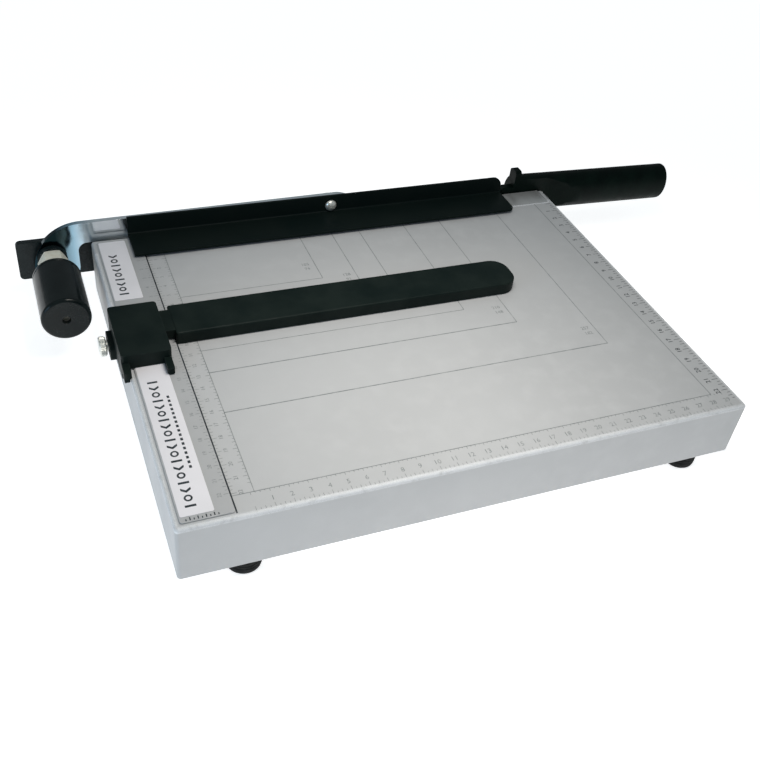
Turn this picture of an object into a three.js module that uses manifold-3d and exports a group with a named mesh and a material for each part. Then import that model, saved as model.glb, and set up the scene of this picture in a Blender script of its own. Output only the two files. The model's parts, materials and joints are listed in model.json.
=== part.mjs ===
// Guillotine paper cutter with a pressed steel bed, a swing arm on a sprung pivot,
// a guard bar over the cutting edge and a sliding T-shaped back gauge.
//
// Working frame, millimetres: x runs along the cutting edge from the left side of the bed,
// y runs back from the front wall of the bed to the cutting edge, z is up from the table.
// The last lines move the origin to the middle of the whole footprint, on the table.

import * as THREE from 'three';
import { mergeVertices } from 'three/addons/utils/BufferGeometryUtils.js';
import Module from 'manifold-3d';

const wasm = await Module();
wasm.setup();

// ---------------------------------------------------------------- driving dimensions

const GAP = 0.3; // running clearance between neighbouring pieces
const SMALL = 12; // facets round a small fastener or its hole
const LARGE = 28; // facets round a pivot or a cover

const FOOT = { radius: 9.9, sole: 8.6, height: 9, left: 36.5, right: 313, inset: 10.2, recess: 4.2, recessDepth: 5 };
const BED = { length: 340, depth: 256, height: 38, sheet: 1.5, corner: 2, edge: 1.6, lip: 24, sideLip: 14 };
const DECK = FOOT.height + BED.height; // height of the cutting surface

const FENCE = { left: 3.2, right: 30.6, front: 3.4, back: 252.6, rise: 0.8 };
const LABEL = { left: 4, right: 21, thickness: 0.25, front: [7, 122], back: [186, 251] };
const KNIFE = { left: 31, right: 336, width: 17, thickness: 2.2, screws: 4, screwInset: 46 };
const KNIFE_SCREW = { head: 3.3, shank: 1.6, length: 8 };

const PIVOT = { x: -25, z: DECK - 10.5, bolt: 4 };
const BRACKET = { left: -46.5, right: 26, low: DECK - 29, high: DECK - 0.8, front: 264, thickness: 4 };
const SPACER = { left: 6, right: 26, low: DECK - 28, high: DECK - 9 };
const COVER = { radius: 15, wall: 1.8, front: 189, back: 235, hole: 2.5 };
const COLLAR_NUT = { acrossFlats: 17, length: 18.4 };
const SPRING = { radius: 9.6, wire: 1.15, length: 22.5, turns: 5, front: 204 };
const LOBE = { x: -22.3, rise: -19, radius: 14.3 };
const SHOULDER = { x: -5, rise: -19, radius: 31.6 };

const ARM = { front: 258.6, thickness: 3.5, crest: 14, low: -2.2, heel: -7.2, neck: 3, throat: 6 };
const STEP = { high: 171, middle: 181, low: 190, crest: 9 }; // where the arm drops behind the guard screw
const BLADE = { left: 28, right: 302, top: 1, edge: -13, thickness: 2, bevel: 5, rivets: 6 };
const GUARD = { left: 24, right: 301.5, front: 229, back: 256, low: 2, high: 15.8, sheet: 1.6, bend: 2.6 };
const GUARD_SCREW = { x: 165.5, rise: 8.4, head: 4.1, shank: 2.1 };

const GRIP = { start: 314.7, end: 455.5, y: 261.5, halfHeight: 14.6, halfDepth: 11, tilt: 1.8, edge: 1.6, taper: 368 };
const FINGER_STOP = { length: 5, top: 17.2, low: -14, back: 266 };
const SLEEVE = { start: 305, halfHeight: 6.8, back: 264 };
const TANG = { end: 400, halfHeight: 5 };

const GAUGE_ARM = { left: 31, right: 256.5, front: 137, back: 165, bottom: 0.4, top: 8.5, corner: 11 };
const GAUGE_HEAD = { left: -3.3, right: 25, front: 121, back: 168, bottom: 1.4, top: 10.5 };
const PRONG = { left: 112, right: 110.5, width: 4.6, top: 5.4, low: -1.4, skirtLow: -6 };
const CLAMP = { y: 152, rise: -5, boss: -6.2, head: 6, headLength: 5, shank: 2 };

const BACK = BED.depth; // plane of the cutting edge

// ---------------------------------------------------------------- materials

const finish = (color, roughness, metalness) =>
  new THREE.MeshStandardMaterial({ color, roughness, metalness });

const greyPaint = () => finish(0xc3c7c8, 0.5, 0.1);
const blackPaint = () => finish(0x1d2122, 0.45, 0.1);
const blackPlastic = () => finish(0x1a1c1e, 0.5, 0);
const blackRubber = () => finish(0x17181a, 0.9, 0);
const chrome = () => finish(0xcdd3d6, 0.12, 1);
const bladeSteel = () => finish(0xb4b9bc, 0.28, 1);
const zinc = () => finish(0xcfcbbb, 0.35, 1);
const nickel = () => finish(0xc8bfae, 0.3, 1);
const paper = () => finish(0xeeebf0, 0.7, 0);

// ---------------------------------------------------------------- solid helpers

// A closed copy of a geometry: only positions, shared vertices merged, faces pointing out.
function closed(geometry) {
  const bare = geometry.clone();
  bare.deleteAttribute('normal');
  bare.deleteAttribute('uv');
  const merged = mergeVertices(bare, 1e-4);
  const index = Array.from(merged.index.array);
  const position = merged.attributes.position;
  const kept = [];
  let volume = 0;
  const a = new THREE.Vector3();
  const b = new THREE.Vector3();
  const c = new THREE.Vector3();
  for (let i = 0; i < index.length; i += 3) {
    const [p, q, r] = index.slice(i, i + 3);
    if (p === q || q === r || r === p) continue;
    kept.push(p, q, r);
    a.fromBufferAttribute(position, p);
    b.fromBufferAttribute(position, q);
    c.fromBufferAttribute(position, r);
    volume += a.dot(b.cross(c));
  }
  if (volume < 0) kept.reverse();
  merged.setIndex(kept);
  return merged;
}

function toSolid(geometry) {
  const merged = closed(geometry);
  return new wasm.Manifold(new wasm.Mesh({
    numProp: 3,
    vertProperties: new Float32Array(merged.attributes.position.array),
    triVerts: new Uint32Array(merged.index.array),
  }));
}

function fromSolid(solid) {
  const mesh = solid.getMesh();
  const geometry = new THREE.BufferGeometry();
  geometry.setAttribute('position', new THREE.BufferAttribute(mesh.vertProperties, 3));
  geometry.setIndex(new THREE.BufferAttribute(mesh.triVerts, 1));
  return geometry;
}

const join = (...geometries) =>
  fromSolid(geometries.map(toSolid).reduce((whole, next) => whole.add(next)));

const cut = (geometry, ...tools) =>
  fromSolid(tools.map(toSolid).reduce((left, tool) => left.subtract(tool), toSolid(geometry)));

const common = (first, second) => fromSolid(toSolid(first).intersect(toSolid(second)));

// ---------------------------------------------------------------- shape helpers

function block(x0, x1, y0, y1, z0, z1) {
  const geometry = new THREE.BoxGeometry(x1 - x0, y1 - y0, z1 - z0);
  return geometry.translate((x0 + x1) / 2, (y0 + y1) / 2, (z0 + z1) / 2);
}

function roundedRectangle(x0, y0, x1, y1, radius) {
  const shape = new THREE.Shape();
  shape.absarc(x1 - radius, y0 + radius, radius, -Math.PI / 2, 0);
  shape.absarc(x1 - radius, y1 - radius, radius, 0, Math.PI / 2);
  shape.absarc(x0 + radius, y1 - radius, radius, Math.PI / 2, Math.PI);
  shape.absarc(x0 + radius, y0 + radius, radius, Math.PI, Math.PI * 1.5);
  shape.closePath();
  return shape;
}

const polygon = (points) => new THREE.Shape(points.map(([u, v]) => new THREE.Vector2(u, v)));

// A flat shape in x and y, raised from z0 to z1.
function raise(shape, z0, z1, curveSegments = 5) {
  const geometry = new THREE.ExtrudeGeometry(shape, { depth: z1 - z0, bevelEnabled: false, curveSegments });
  return geometry.translate(0, 0, z0);
}

// A rounded rectangle raised from z0 to z1, with its top edge rounded.
function raisedPad(x0, y0, x1, y1, corner, z0, z1, edge) {
  const shape = roundedRectangle(x0 + edge, y0 + edge, x1 - edge, y1 - edge, corner - edge);
  const geometry = new THREE.ExtrudeGeometry(shape, {
    depth: z1 - z0 - edge,
    bevelSize: edge,
    bevelThickness: edge,
    bevelSegments: 3,
    curveSegments: 5,
  });
  const below = block(x0 - 1, x1 + 1, y0 - 1, y1 + 1, z0 - edge - 1, z0);
  return cut(geometry.translate(0, 0, z0), below);
}

// A shape drawn in x and z, given thickness from y0 back to y1.
function plate(shape, y0, y1, curveSegments = 10) {
  const options = { depth: y1 - y0, bevelEnabled: false, curveSegments };
  return new THREE.ExtrudeGeometry(shape, options).rotateX(Math.PI / 2).translate(0, y1, 0);
}

// A section drawn in y and z, run from x0 to x1.
function run(section, x0, x1, curveSegments = 5) {
  const options = { depth: x1 - x0, bevelEnabled: false, curveSegments };
  const geometry = new THREE.ExtrudeGeometry(section, options);
  return geometry.rotateZ(Math.PI / 2).rotateY(Math.PI / 2).translate(x0, 0, 0);
}

// A turned piece about the z axis, from pairs of radius and height.
function turned(profile, segments = SMALL) {
  const points = profile.map(([radius, height]) => new THREE.Vector2(radius, height));
  return new THREE.LatheGeometry(points, segments).rotateX(Math.PI / 2);
}

const rod = (radius, z0, z1, segments = SMALL) =>
  turned([[0, z0], [radius, z0], [radius, z1], [0, z1]], segments);

const ring = (inner, outer, z0, z1, segments = LARGE) =>
  turned([[inner, z0], [outer, z0], [outer, z1], [inner, z1], [inner, z0]], segments);

function hexagon(acrossFlats) {
  const shape = new THREE.Shape();
  const radius = acrossFlats / Math.sqrt(3);
  for (let i = 0; i < 6; i += 1) {
    const angle = (i * Math.PI) / 3;
    const point = [radius * Math.cos(angle), radius * Math.sin(angle)];
    if (i === 0) shape.moveTo(...point);
    else shape.lineTo(...point);
  }
  shape.closePath();
  return shape;
}

const nut = (acrossFlats, bore, z0, z1) =>
  cut(raise(hexagon(acrossFlats), z0, z1), rod(bore, z0 - 1, z1 + 1));

const alongY = (geometry) => geometry.rotateX(-Math.PI / 2);
const alongX = (geometry) => geometry.rotateY(Math.PI / 2);

// A hole through y0 to y1 at x and z.
const holeY = (radius, x, z, y0, y1, segments = SMALL) =>
  alongY(rod(radius, 0, y1 - y0, segments)).translate(x, y0, z);

const holeZ = (radius, x, y, z0, z1) => rod(radius, z0, z1).translate(x, y, 0);

const spread = (from, to, count) =>
  Array.from({ length: count }, (_, i) => from + ((to - from) * i) / (count - 1));

// ---------------------------------------------------------------- assembly

const assembly = new THREE.Group();

function place(name, geometry, material, x = 0, y = 0, z = 0, parent = assembly) {
  const mesh = new THREE.Mesh(closed(geometry), material);
  mesh.name = name;
  mesh.position.set(x, y, z);
  parent.add(mesh);
  return mesh;
}

// ---------------------------------------------------------------- bed

const knifeScrewX = spread(KNIFE.left + KNIFE.screwInset, KNIFE.right - KNIFE.screwInset, KNIFE.screws);
const knifeScrewY = BACK - KNIFE.width / 2;
const bracketScrewX = [SPACER.left + 5, SPACER.right - 5];
const bracketScrewZ = (SPACER.low + SPACER.high) / 2;

const footPlaces = [
  ['front_left', FOOT.left, FOOT.inset],
  ['front_right', FOOT.right, FOOT.inset],
  ['rear_left', FOOT.left, BED.depth - FOOT.inset],
  ['rear_right', FOOT.right, BED.depth - FOOT.inset],
];

function bedShell() {
  const { length, depth, sheet, corner, edge, lip, sideLip } = BED;
  const low = FOOT.height;
  const ledge = DECK - KNIFE.thickness;
  const front = BACK - KNIFE.width;
  const outside = raisedPad(0, 0, length, depth, corner, low, DECK, edge);
  const inside = roundedRectangle(sheet, sheet, length - sheet, depth - sheet, corner - sheet);
  const mouth = roundedRectangle(sideLip, lip, length - sideLip, depth - lip, 8);
  const hollow = cut(outside, raise(inside, low + sheet, DECK - sheet), raise(mouth, low - 1, low + 3));
  const seat = block(
    KNIFE.left - GAP - sheet, KNIFE.right + GAP + sheet, front - GAP - sheet, BACK,
    ledge - sheet, DECK - sheet / 2,
  );
  const rebate = block(KNIFE.left - GAP, KNIFE.right + GAP, front - GAP, BACK + 1, ledge, DECK + 1);
  const bore = KNIFE_SCREW.shank + GAP;
  const screwHoles = knifeScrewX.map((x) => holeZ(bore, x, knifeScrewY, ledge - 3, ledge + 1));
  const footHoles = footPlaces.map(([, x, y]) => holeZ(2.3, x, y, low - 1, low + 3));
  const bracketHoles = bracketScrewX.map((x) => holeY(2.3, x, bracketScrewZ, BACK - 3, BACK + 1));
  return cut(join(hollow, seat), rebate, ...screwHoles, ...footHoles, ...bracketHoles);
}

function bedKnife() {
  const { left, right, width, thickness } = KNIFE;
  const low = DECK - thickness;
  const strip = block(left, right, BACK - width, BACK, low, DECK);
  const bore = KNIFE_SCREW.shank + 0.4;
  const rim = KNIFE_SCREW.head + 0.5;
  const seats = knifeScrewX.map((x) =>
    turned([[0, low - 1], [bore, low - 1], [bore, DECK + 0.1 - rim + bore], [rim, DECK + 0.1], [0, DECK + 0.1]])
      .translate(x, knifeScrewY, 0));
  return cut(strip, ...seats);
}

const countersunkScrew = (head, shank, length) => turned([
  [0, -length], [shank * 0.6, -length], [shank, -length + 1],
  [shank, shank - head], [head, -0.15], [head, 0], [0, 0],
]);

function foot() {
  const { radius, sole, height, recess, recessDepth } = FOOT;
  return turned([
    [recess, 0], [sole, 0], [sole + 1, 1], [radius, 3], [radius, height],
    [2.3, height], [2.3, recessDepth], [recess, recessDepth], [recess, 0],
  ], 24);
}

const panScrew = (head, headHeight, shank, length) => turned([
  [0, -headHeight], [head * 0.55, -headHeight], [head * 0.9, -headHeight * 0.55], [head, 0],
  [shank, 0], [shank, length - 1], [shank * 0.6, length], [0, length],
]);

place('bed_shell', bedShell(), greyPaint());
place('side_fence', raisedPad(
  FENCE.left, FENCE.front, FENCE.right, FENCE.back, 1.5, DECK, DECK + FENCE.rise, 0.4,
), greyPaint());
Object.entries({ label_front: LABEL.front, label_back: LABEL.back }).forEach(([name, [y0, y1]]) => {
  const shape = roundedRectangle(LABEL.left, y0, LABEL.right, y1, 1);
  const z = DECK + FENCE.rise;
  place(name, raise(shape, z, z + LABEL.thickness), paper());
});
place('bed_knife', bedKnife(), bladeSteel());
knifeScrewX.forEach((x, i) => {
  const screw = countersunkScrew(KNIFE_SCREW.head, KNIFE_SCREW.shank, KNIFE_SCREW.length);
  place(`bed_knife_screw_${i + 1}`, screw, zinc(), x, knifeScrewY, DECK - 0.2);
});
footPlaces.forEach(([where, x, y]) => {
  place(`foot_${where}`, foot(), blackRubber(), x, y, 0);
  place(`foot_screw_${where}`, panScrew(3.7, 2.4, 2, 9), zinc(), x, y, FOOT.recessDepth - GAP);
});

// ---------------------------------------------------------------- pivot

const BRACKET_BACK = BRACKET.front + BRACKET.thickness;

function bracket() {
  const { left, right, low, high, front } = BRACKET;
  const outline = roundedRectangle(left, low, right, high, 3);
  const holes = bracketScrewX.map((x) => holeY(2.3, x, bracketScrewZ, front - 1, BRACKET_BACK + 1));
  const bore = holeY(PIVOT.bolt + GAP, PIVOT.x, PIVOT.z, front - 1, BRACKET_BACK + 1, LARGE);
  return cut(plate(outline, front, BRACKET_BACK), bore, ...holes);
}

function bracketSpacer() {
  const { left, right, low, high } = SPACER;
  const holes = bracketScrewX.map((x) => holeY(2.3, x, bracketScrewZ, BACK - 1, BRACKET.front + 1));
  return cut(block(left, right, BACK, BRACKET.front, low, high), ...holes);
}

function springCover() {
  const { radius, wall, front, back, hole } = COVER;
  const length = back - front;
  return turned([
    [hole, 0], [radius - 2.2, 0], [radius - 0.7, 0.5], [radius, 2], [radius, length],
    [radius - wall, length], [radius - wall, wall + 1], [hole, wall + 1], [hole, 0],
  ], LARGE);
}

class Helix extends THREE.Curve {
  constructor(radius, height, turns) {
    super();
    Object.assign(this, { radius, height, turns });
  }

  getPoint(t, target = new THREE.Vector3()) {
    const angle = t * this.turns * Math.PI * 2;
    return target.set(this.radius * Math.cos(angle), this.radius * Math.sin(angle), t * this.height);
  }
}

function coilSpring(radius, wire, height, turns) {
  const section = new THREE.Shape().absarc(0, 0, wire, 0, Math.PI * 2);
  return new THREE.ExtrudeGeometry(section, {
    steps: turns * 12,
    curveSegments: 3,
    extrudePath: new Helix(radius, height, turns),
  });
}

const pivotAt = (name, geometry, material, y) =>
  place(name, alongY(geometry), material, PIVOT.x, y, PIVOT.z);

place('pivot_bracket', bracket(), blackPaint());
place('bracket_spacer', bracketSpacer(), zinc());
bracketScrewX.forEach((x, i) => {
  const screw = panScrew(3.7, 2.6, 2, 19).rotateX(Math.PI / 2);
  place(`bracket_screw_${i + 1}`, screw, zinc(), x, BRACKET_BACK + GAP, bracketScrewZ);
  const hex = alongY(nut(7, 2.3, 0, 3.2));
  place(`bracket_nut_${i + 1}`, hex, zinc(), x, BACK - BED.sheet - GAP - 3.2, bracketScrewZ);
});

const BOLT_TIP = COVER.front + 5;
const boltLength = BRACKET_BACK - BOLT_TIP;
place('pivot_bolt', join(
  alongY(raise(hexagon(13), 0, 5)).translate(0, boltLength + GAP, 0),
  alongY(turned([
    [0, 0], [PIVOT.bolt - 1, 0], [PIVOT.bolt, 1], [PIVOT.bolt, boltLength + 1], [0, boltLength + 1],
  ], LARGE)),
), zinc(), PIVOT.x, BOLT_TIP, PIVOT.z);
const ARM_BACK = ARM.front + ARM.thickness;
const boltClear = PIVOT.bolt + GAP;
pivotAt('thrust_washer', ring(boltClear, 9, 0, 1.3), zinc(), ARM_BACK + GAP);
const nutFront = COVER.back + GAP;
const bushFront = nutFront + COLLAR_NUT.length + GAP;
pivotAt('collar_nut', nut(COLLAR_NUT.acrossFlats, boltClear, 0, COLLAR_NUT.length), zinc(), nutFront);
pivotAt('pivot_bush', ring(boltClear, 9.5, 0, ARM.front - GAP - bushFront), blackPaint(), bushFront);
pivotAt('spring_seat', ring(boltClear, 12.6, 0, 1.5), zinc(), COVER.back - 5);
pivotAt('pivot_spring', coilSpring(SPRING.radius, SPRING.wire, SPRING.length, SPRING.turns),
  bladeSteel(), SPRING.front);
pivotAt('spring_washer', ring(boltClear, 12.2, 0, 1.4), zinc(), COVER.front + 11.4);
pivotAt('lock_nut', nut(13, boltClear, 0, 5), zinc(), COVER.front + 6);
pivotAt('spring_cover', springCover(), blackPlastic(), COVER.front);

// ---------------------------------------------------------------- swing arm

// Height of the grip's tilted centre line above the table.
function gripCentreZ(x) {
  const atStart = DECK - 2.8;
  return atStart - (x - GRIP.start) * Math.tan(THREE.MathUtils.degToRad(GRIP.tilt));
}

// Side view of the arm: a rounded lobe on the pivot, a deep half that carries the guard bar
// and a slimmer half that ends in the tang inside the grip.
function armOutline() {
  const lobe = { ...LOBE, z: DECK + LOBE.rise };
  const shoulder = { ...SHOULDER, z: DECK + SHOULDER.rise };
  const top = shoulder.z + shoulder.radius;
  const throatX = lobe.x + lobe.radius;
  const throatZ = DECK + ARM.low - ARM.throat;
  const neckX = SLEEVE.start - 2.5;
  const tangX = SLEEVE.start - 0.5;
  const shape = new THREE.Shape();
  shape.moveTo(lobe.x - lobe.radius, lobe.z);
  shape.absarc(lobe.x, lobe.z, lobe.radius, Math.PI, Math.PI * 2);
  shape.lineTo(throatX, throatZ);
  shape.absarc(throatX + ARM.throat, throatZ, ARM.throat, Math.PI, Math.PI / 2, true);
  shape.lineTo(BLADE.left - 4, DECK + ARM.low);
  shape.lineTo(BLADE.left - 1, DECK + ARM.heel);
  shape.lineTo(neckX, DECK + ARM.heel - 1);
  shape.lineTo(tangX, gripCentreZ(tangX) - TANG.halfHeight);
  shape.lineTo(TANG.end, gripCentreZ(TANG.end) - TANG.halfHeight);
  shape.lineTo(TANG.end, gripCentreZ(TANG.end) + TANG.halfHeight);
  shape.lineTo(tangX, gripCentreZ(tangX) + TANG.halfHeight);
  shape.lineTo(neckX, DECK + ARM.neck);
  shape.lineTo(STEP.low, DECK + STEP.crest);
  shape.bezierCurveTo(
    STEP.middle, DECK + STEP.crest, STEP.middle, DECK + ARM.crest, STEP.high, DECK + ARM.crest,
  );
  shape.lineTo(shoulder.x, top);
  shape.absarc(shoulder.x, shoulder.z, shoulder.radius, Math.PI / 2, Math.PI);
  shape.closePath();
  return shape;
}

const rivetX = spread(BLADE.left + 18, BLADE.right - 18, BLADE.rivets);
const rivetZ = DECK - 3.4;
const gripScrewX = [GRIP.start + 24, GRIP.start + 74];
const BLADE_FRONT = BACK + GAP;

function bladeArm() {
  const y0 = ARM.front;
  const y1 = ARM_BACK;
  const span = [y0 - 1, y1 + 1];
  return cut(
    plate(armOutline(), y0, y1, 9),
    holeY(boltClear, PIVOT.x, PIVOT.z, ...span, LARGE),
    holeY(2.4, GUARD_SCREW.x, DECK + GUARD_SCREW.rise, ...span),
    ...rivetX.map((x) => holeY(1.8, x, rivetZ, ...span)),
    ...gripScrewX.map((x) => holeY(2.3, x, gripCentreZ(x), ...span)),
  );
}

function cuttingBlade() {
  const { left, right, top, edge, thickness, bevel } = BLADE;
  const y0 = BLADE_FRONT;
  const y1 = y0 + thickness;
  const section = new THREE.Shape();
  section.moveTo(y0, DECK + edge);
  section.lineTo(y0 + 0.3, DECK + edge);
  section.lineTo(y1, DECK + edge + bevel);
  section.lineTo(y1, DECK + top);
  section.lineTo(y0, DECK + top);
  section.closePath();
  const outline = roundedRectangle(left, DECK + edge - 4, right, DECK + top, 3);
  const seats = rivetX.map((x) =>
    alongY(turned([[0, -1], [3.4, -1], [3.4, 0.1], [1.8, 1.6], [1.8, 4], [0, 4]]))
      .translate(x, y0, rivetZ));
  return cut(common(run(section, left, right), plate(outline, y0 - 1, y1 + 1)), ...seats);
}

const rivet = () => alongY(turned([
  [0, 0], [3, 0], [1.5, 1.4], [1.5, 6.1], [2.9, 6.1], [2.6, 7], [1.5, 7.7], [0, 7.9],
]));

function ellipse(halfDepth, halfHeight) {
  const shape = new THREE.Shape();
  return shape.absellipse(0, 0, halfDepth, halfHeight, 0, Math.PI * 2);
}

// The grip is drawn along x from its own start, then tilted and carried to the arm.
function grip() {
  const length = GRIP.end - GRIP.start;
  const { edge, halfDepth, halfHeight } = GRIP;
  const body = new THREE.ExtrudeGeometry(ellipse(halfDepth - edge, halfHeight - edge), {
    depth: length - 2 * edge,
    bevelSize: edge,
    bevelThickness: edge,
    bevelSegments: 2,
    curveSegments: 14,
  });
  return body.rotateZ(Math.PI / 2).rotateY(Math.PI / 2).translate(edge, 0, 0);
}

// The upright stop at the root of the grip, which keeps fingers away from the blade.
function fingerStop() {
  const { length, top, low, back } = FINGER_STOP;
  const shape = roundedRectangle(BACK + 0.8, DECK + low, back, DECK + top, 1.8);
  return run(shape, GRIP.start, GRIP.start + length);
}

// The low collar at the root of the grip, which closes on the arm's neck.
function sleeve() {
  const z = gripCentreZ(SLEEVE.start);
  const shape = roundedRectangle(BACK + 0.8, z - SLEEVE.halfHeight, SLEEVE.back, z + SLEEVE.halfHeight, 1.5);
  return run(shape, SLEEVE.start, GRIP.start + 1);
}

function gripInPlace() {
  const tilt = THREE.MathUtils.degToRad(GRIP.tilt);
  const placed = grip().rotateY(tilt).translate(GRIP.start, GRIP.y, gripCentreZ(GRIP.start));
  const bedSide = raise(polygon([
    [GRIP.start - 5, BACK - 30], [GRIP.taper, BACK - 30], [GRIP.taper, GRIP.y - GRIP.halfDepth],
    [BED.length + 3, BACK + 0.8], [GRIP.start - 5, BACK + 0.8],
  ]), 0, DECK + 40);
  const room = TANG.halfHeight + GAP;
  const [from, to] = [SLEEVE.start - 1, TANG.end + GAP];
  const slot = polygon([
    [from, gripCentreZ(from) - room], [to, gripCentreZ(to) - room],
    [to, gripCentreZ(to) + room], [from, gripCentreZ(from) + room],
  ]);
  const pocket = plate(slot, ARM.front - GAP, ARM_BACK + GAP);
  const screwSeats = gripScrewX.flatMap((x) => [
    holeY(2.3, x, gripCentreZ(x), ARM.front - 1, GRIP.y + 14),
    holeY(4.4, x, gripCentreZ(x), GRIP.y + GRIP.halfDepth - 3.6, GRIP.y + 20),
  ]);
  return cut(join(placed, fingerStop(), sleeve()), bedSide, pocket, ...screwSeats);
}

place('blade_arm', bladeArm(), chrome());
place('cutting_blade', cuttingBlade(), bladeSteel());
rivetX.forEach((x, i) => {
  place(`blade_rivet_${i + 1}`, rivet(), zinc(), x, BLADE_FRONT + 0.1, rivetZ);
});
place('handle_grip', gripInPlace(), blackPlastic());
gripScrewX.forEach((x, i) => {
  const screw = panScrew(4, 2.4, 2, 11).rotateX(Math.PI / 2);
  place(`handle_screw_${i + 1}`, screw, zinc(), x, GRIP.y + GRIP.halfDepth - 3.3, gripCentreZ(x));
});

// ---------------------------------------------------------------- guard bar

function guardSection() {
  const { front, back, low, high, sheet, bend } = GUARD;
  const z0 = DECK + low;
  const z1 = DECK + high;
  const shape = new THREE.Shape();
  shape.moveTo(front, z0);
  shape.lineTo(back - bend, z0);
  shape.absarc(back - bend, z0 + bend, bend, -Math.PI / 2, 0);
  shape.lineTo(back, z1);
  shape.lineTo(back - sheet, z1);
  shape.lineTo(back - sheet, z0 + bend);
  shape.absarc(back - bend, z0 + bend, bend - sheet, 0, -Math.PI / 2, true);
  shape.lineTo(front, z0 + sheet);
  shape.closePath();
  return shape;
}

function guardBar() {
  const { left, right, front, back, low, high } = GUARD;
  const round = 7;
  const z1 = DECK + high;
  const cornerBlock = block(right - round, right + 1, back - 5, back + 1, z1 - round, z1 + 1);
  const corner = cut(cornerBlock, holeY(round, right - round, z1 - round, back - 6, back + 2, LARGE));
  const flangeCorner = cut(
    block(right - 4, right + 1, front - 1, front + 4, DECK, z1),
    holeZ(4, right - 4, front + 4, DECK - 1, z1 + 1),
  );
  const hole = holeY(GUARD_SCREW.shank + GAP, GUARD_SCREW.x, DECK + GUARD_SCREW.rise, back - 4, back + 1);
  return cut(run(guardSection(), left, right), corner, flangeCorner, hole);
}

const domeScrew = (head, headHeight, shank, length) => turned([
  [0, -headHeight], [head * 0.5, -headHeight * 0.87], [head * 0.87, -headHeight * 0.5], [head, 0],
  [shank, 0], [shank, length - 0.8], [shank * 0.7, length], [0, length],
], 20);

const guardScrewAt = (name, geometry, material, y) =>
  place(name, alongY(geometry), material, GUARD_SCREW.x, y, DECK + GUARD_SCREW.rise);

place('guard_bar', guardBar(), blackPaint());
guardScrewAt('guard_screw', domeScrew(GUARD_SCREW.head, 2.6, GUARD_SCREW.shank, 12.2), nickel(),
  BACK - GUARD.sheet - GAP);
guardScrewAt('guard_bush', ring(2.5, 4, 0, BLADE.thickness, SMALL), zinc(), BACK + GAP);
guardScrewAt('guard_nut', nut(7.5, 2.4, 0, 3), zinc(), ARM_BACK + GAP);

// ---------------------------------------------------------------- back gauge

const tongue = { left: 6, front: GAUGE_ARM.front + 4, back: GAUGE_ARM.back - 4, low: 2.2, high: 8 };
const gaugeScrewX = [11, 20];
const gaugeScrewY = (tongue.front + tongue.back) / 2;

function gaugeArm() {
  const { left, right, front, back, bottom, top, corner } = GAUGE_ARM;
  const shape = new THREE.Shape();
  const inset = 1.2;
  shape.moveTo(left + inset, front + inset);
  shape.lineTo(right - corner, front + inset);
  shape.absarc(right - corner, front + corner, corner - inset, -Math.PI / 2, 0);
  shape.absarc(right - corner, back - corner, corner - inset, 0, Math.PI / 2);
  shape.lineTo(left + inset, back - inset);
  shape.closePath();
  const bar = new THREE.ExtrudeGeometry(shape, {
    depth: top - bottom - inset,
    bevelSize: inset,
    bevelThickness: inset,
    bevelSegments: 2,
    curveSegments: 6,
  }).translate(0, 0, DECK + bottom);
  const below = block(left - 2, right + 2, front - 2, back + 2, DECK - 5, DECK + bottom);
  const stub = block(tongue.left, left + 4, tongue.front, tongue.back, DECK + tongue.low, DECK + tongue.high);
  const seats = gaugeScrewX.map((x) => turned([
    [0, -1], [3.4, -1], [3.4, 0.2], [1.9, 1.7], [1.9, 9], [0, 9],
  ]).translate(x, gaugeScrewY, DECK + tongue.low));
  return cut(join(cut(bar, below), stub), ...seats);
}

function gaugeHead() {
  const { left, right, front, back, bottom, top } = GAUGE_HEAD;
  const wall = -GAP; // inner face of the skirt, which runs along the side of the bed
  const crown = DECK + top;
  const pad = raisedPad(left, front, right, back, 2, DECK + bottom, crown, 1);
  const skirt = block(left, wall, front, back, DECK + PRONG.skirtLow, crown - 3);
  const [prongEnd, prongTop] = [front + 2, DECK + PRONG.top];
  const leftProng = block(left, wall + 1.2, PRONG.left, prongEnd, DECK + bottom, prongTop);
  const leftSkirt = block(left, wall, PRONG.left, prongEnd, DECK + PRONG.low, prongTop);
  const rightProng = block(right - PRONG.width, right - 0.5, PRONG.right, prongEnd, DECK + bottom, prongTop);
  const bossZ = DECK + CLAMP.rise;
  const bossShape = roundedRectangle(CLAMP.y - 9, bossZ - 6, CLAMP.y + 9, bossZ + 6, 4);
  const boss = run(bossShape, CLAMP.boss, left + 0.5);
  const pocket = block(
    tongue.left - GAP, right + 1, tongue.front - GAP, tongue.back + GAP, DECK, DECK + tongue.high + GAP,
  );
  const bore = alongX(rod(CLAMP.shank + GAP, -20, 2)).translate(0, CLAMP.y, DECK + CLAMP.rise);
  const screwHoles = gaugeScrewX.map((x) => holeZ(1.9, x, gaugeScrewY, DECK + 5, crown - 0.6));
  const whole = join(pad, skirt, leftSkirt, leftProng, rightProng, boss);
  return cut(whole, pocket, bore, ...screwHoles);
}

// A knurled head with a neck, then the threaded shank that presses on the bed's side wall.
function clampScrew() {
  const { boss, head, headLength, shank } = CLAMP;
  const neck = boss - GAP;
  const start = neck - headLength;
  return alongX(turned([
    [0, start], [head - 0.8, start], [head, start + 0.8], [head, neck - 1.4], [head - 0.8, neck - 0.7],
    [3.4, neck - 0.7], [3.4, neck], [shank, neck], [shank, -GAP - 0.6], [shank - 0.7, -GAP], [0, -GAP],
  ], 20));
}

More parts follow.
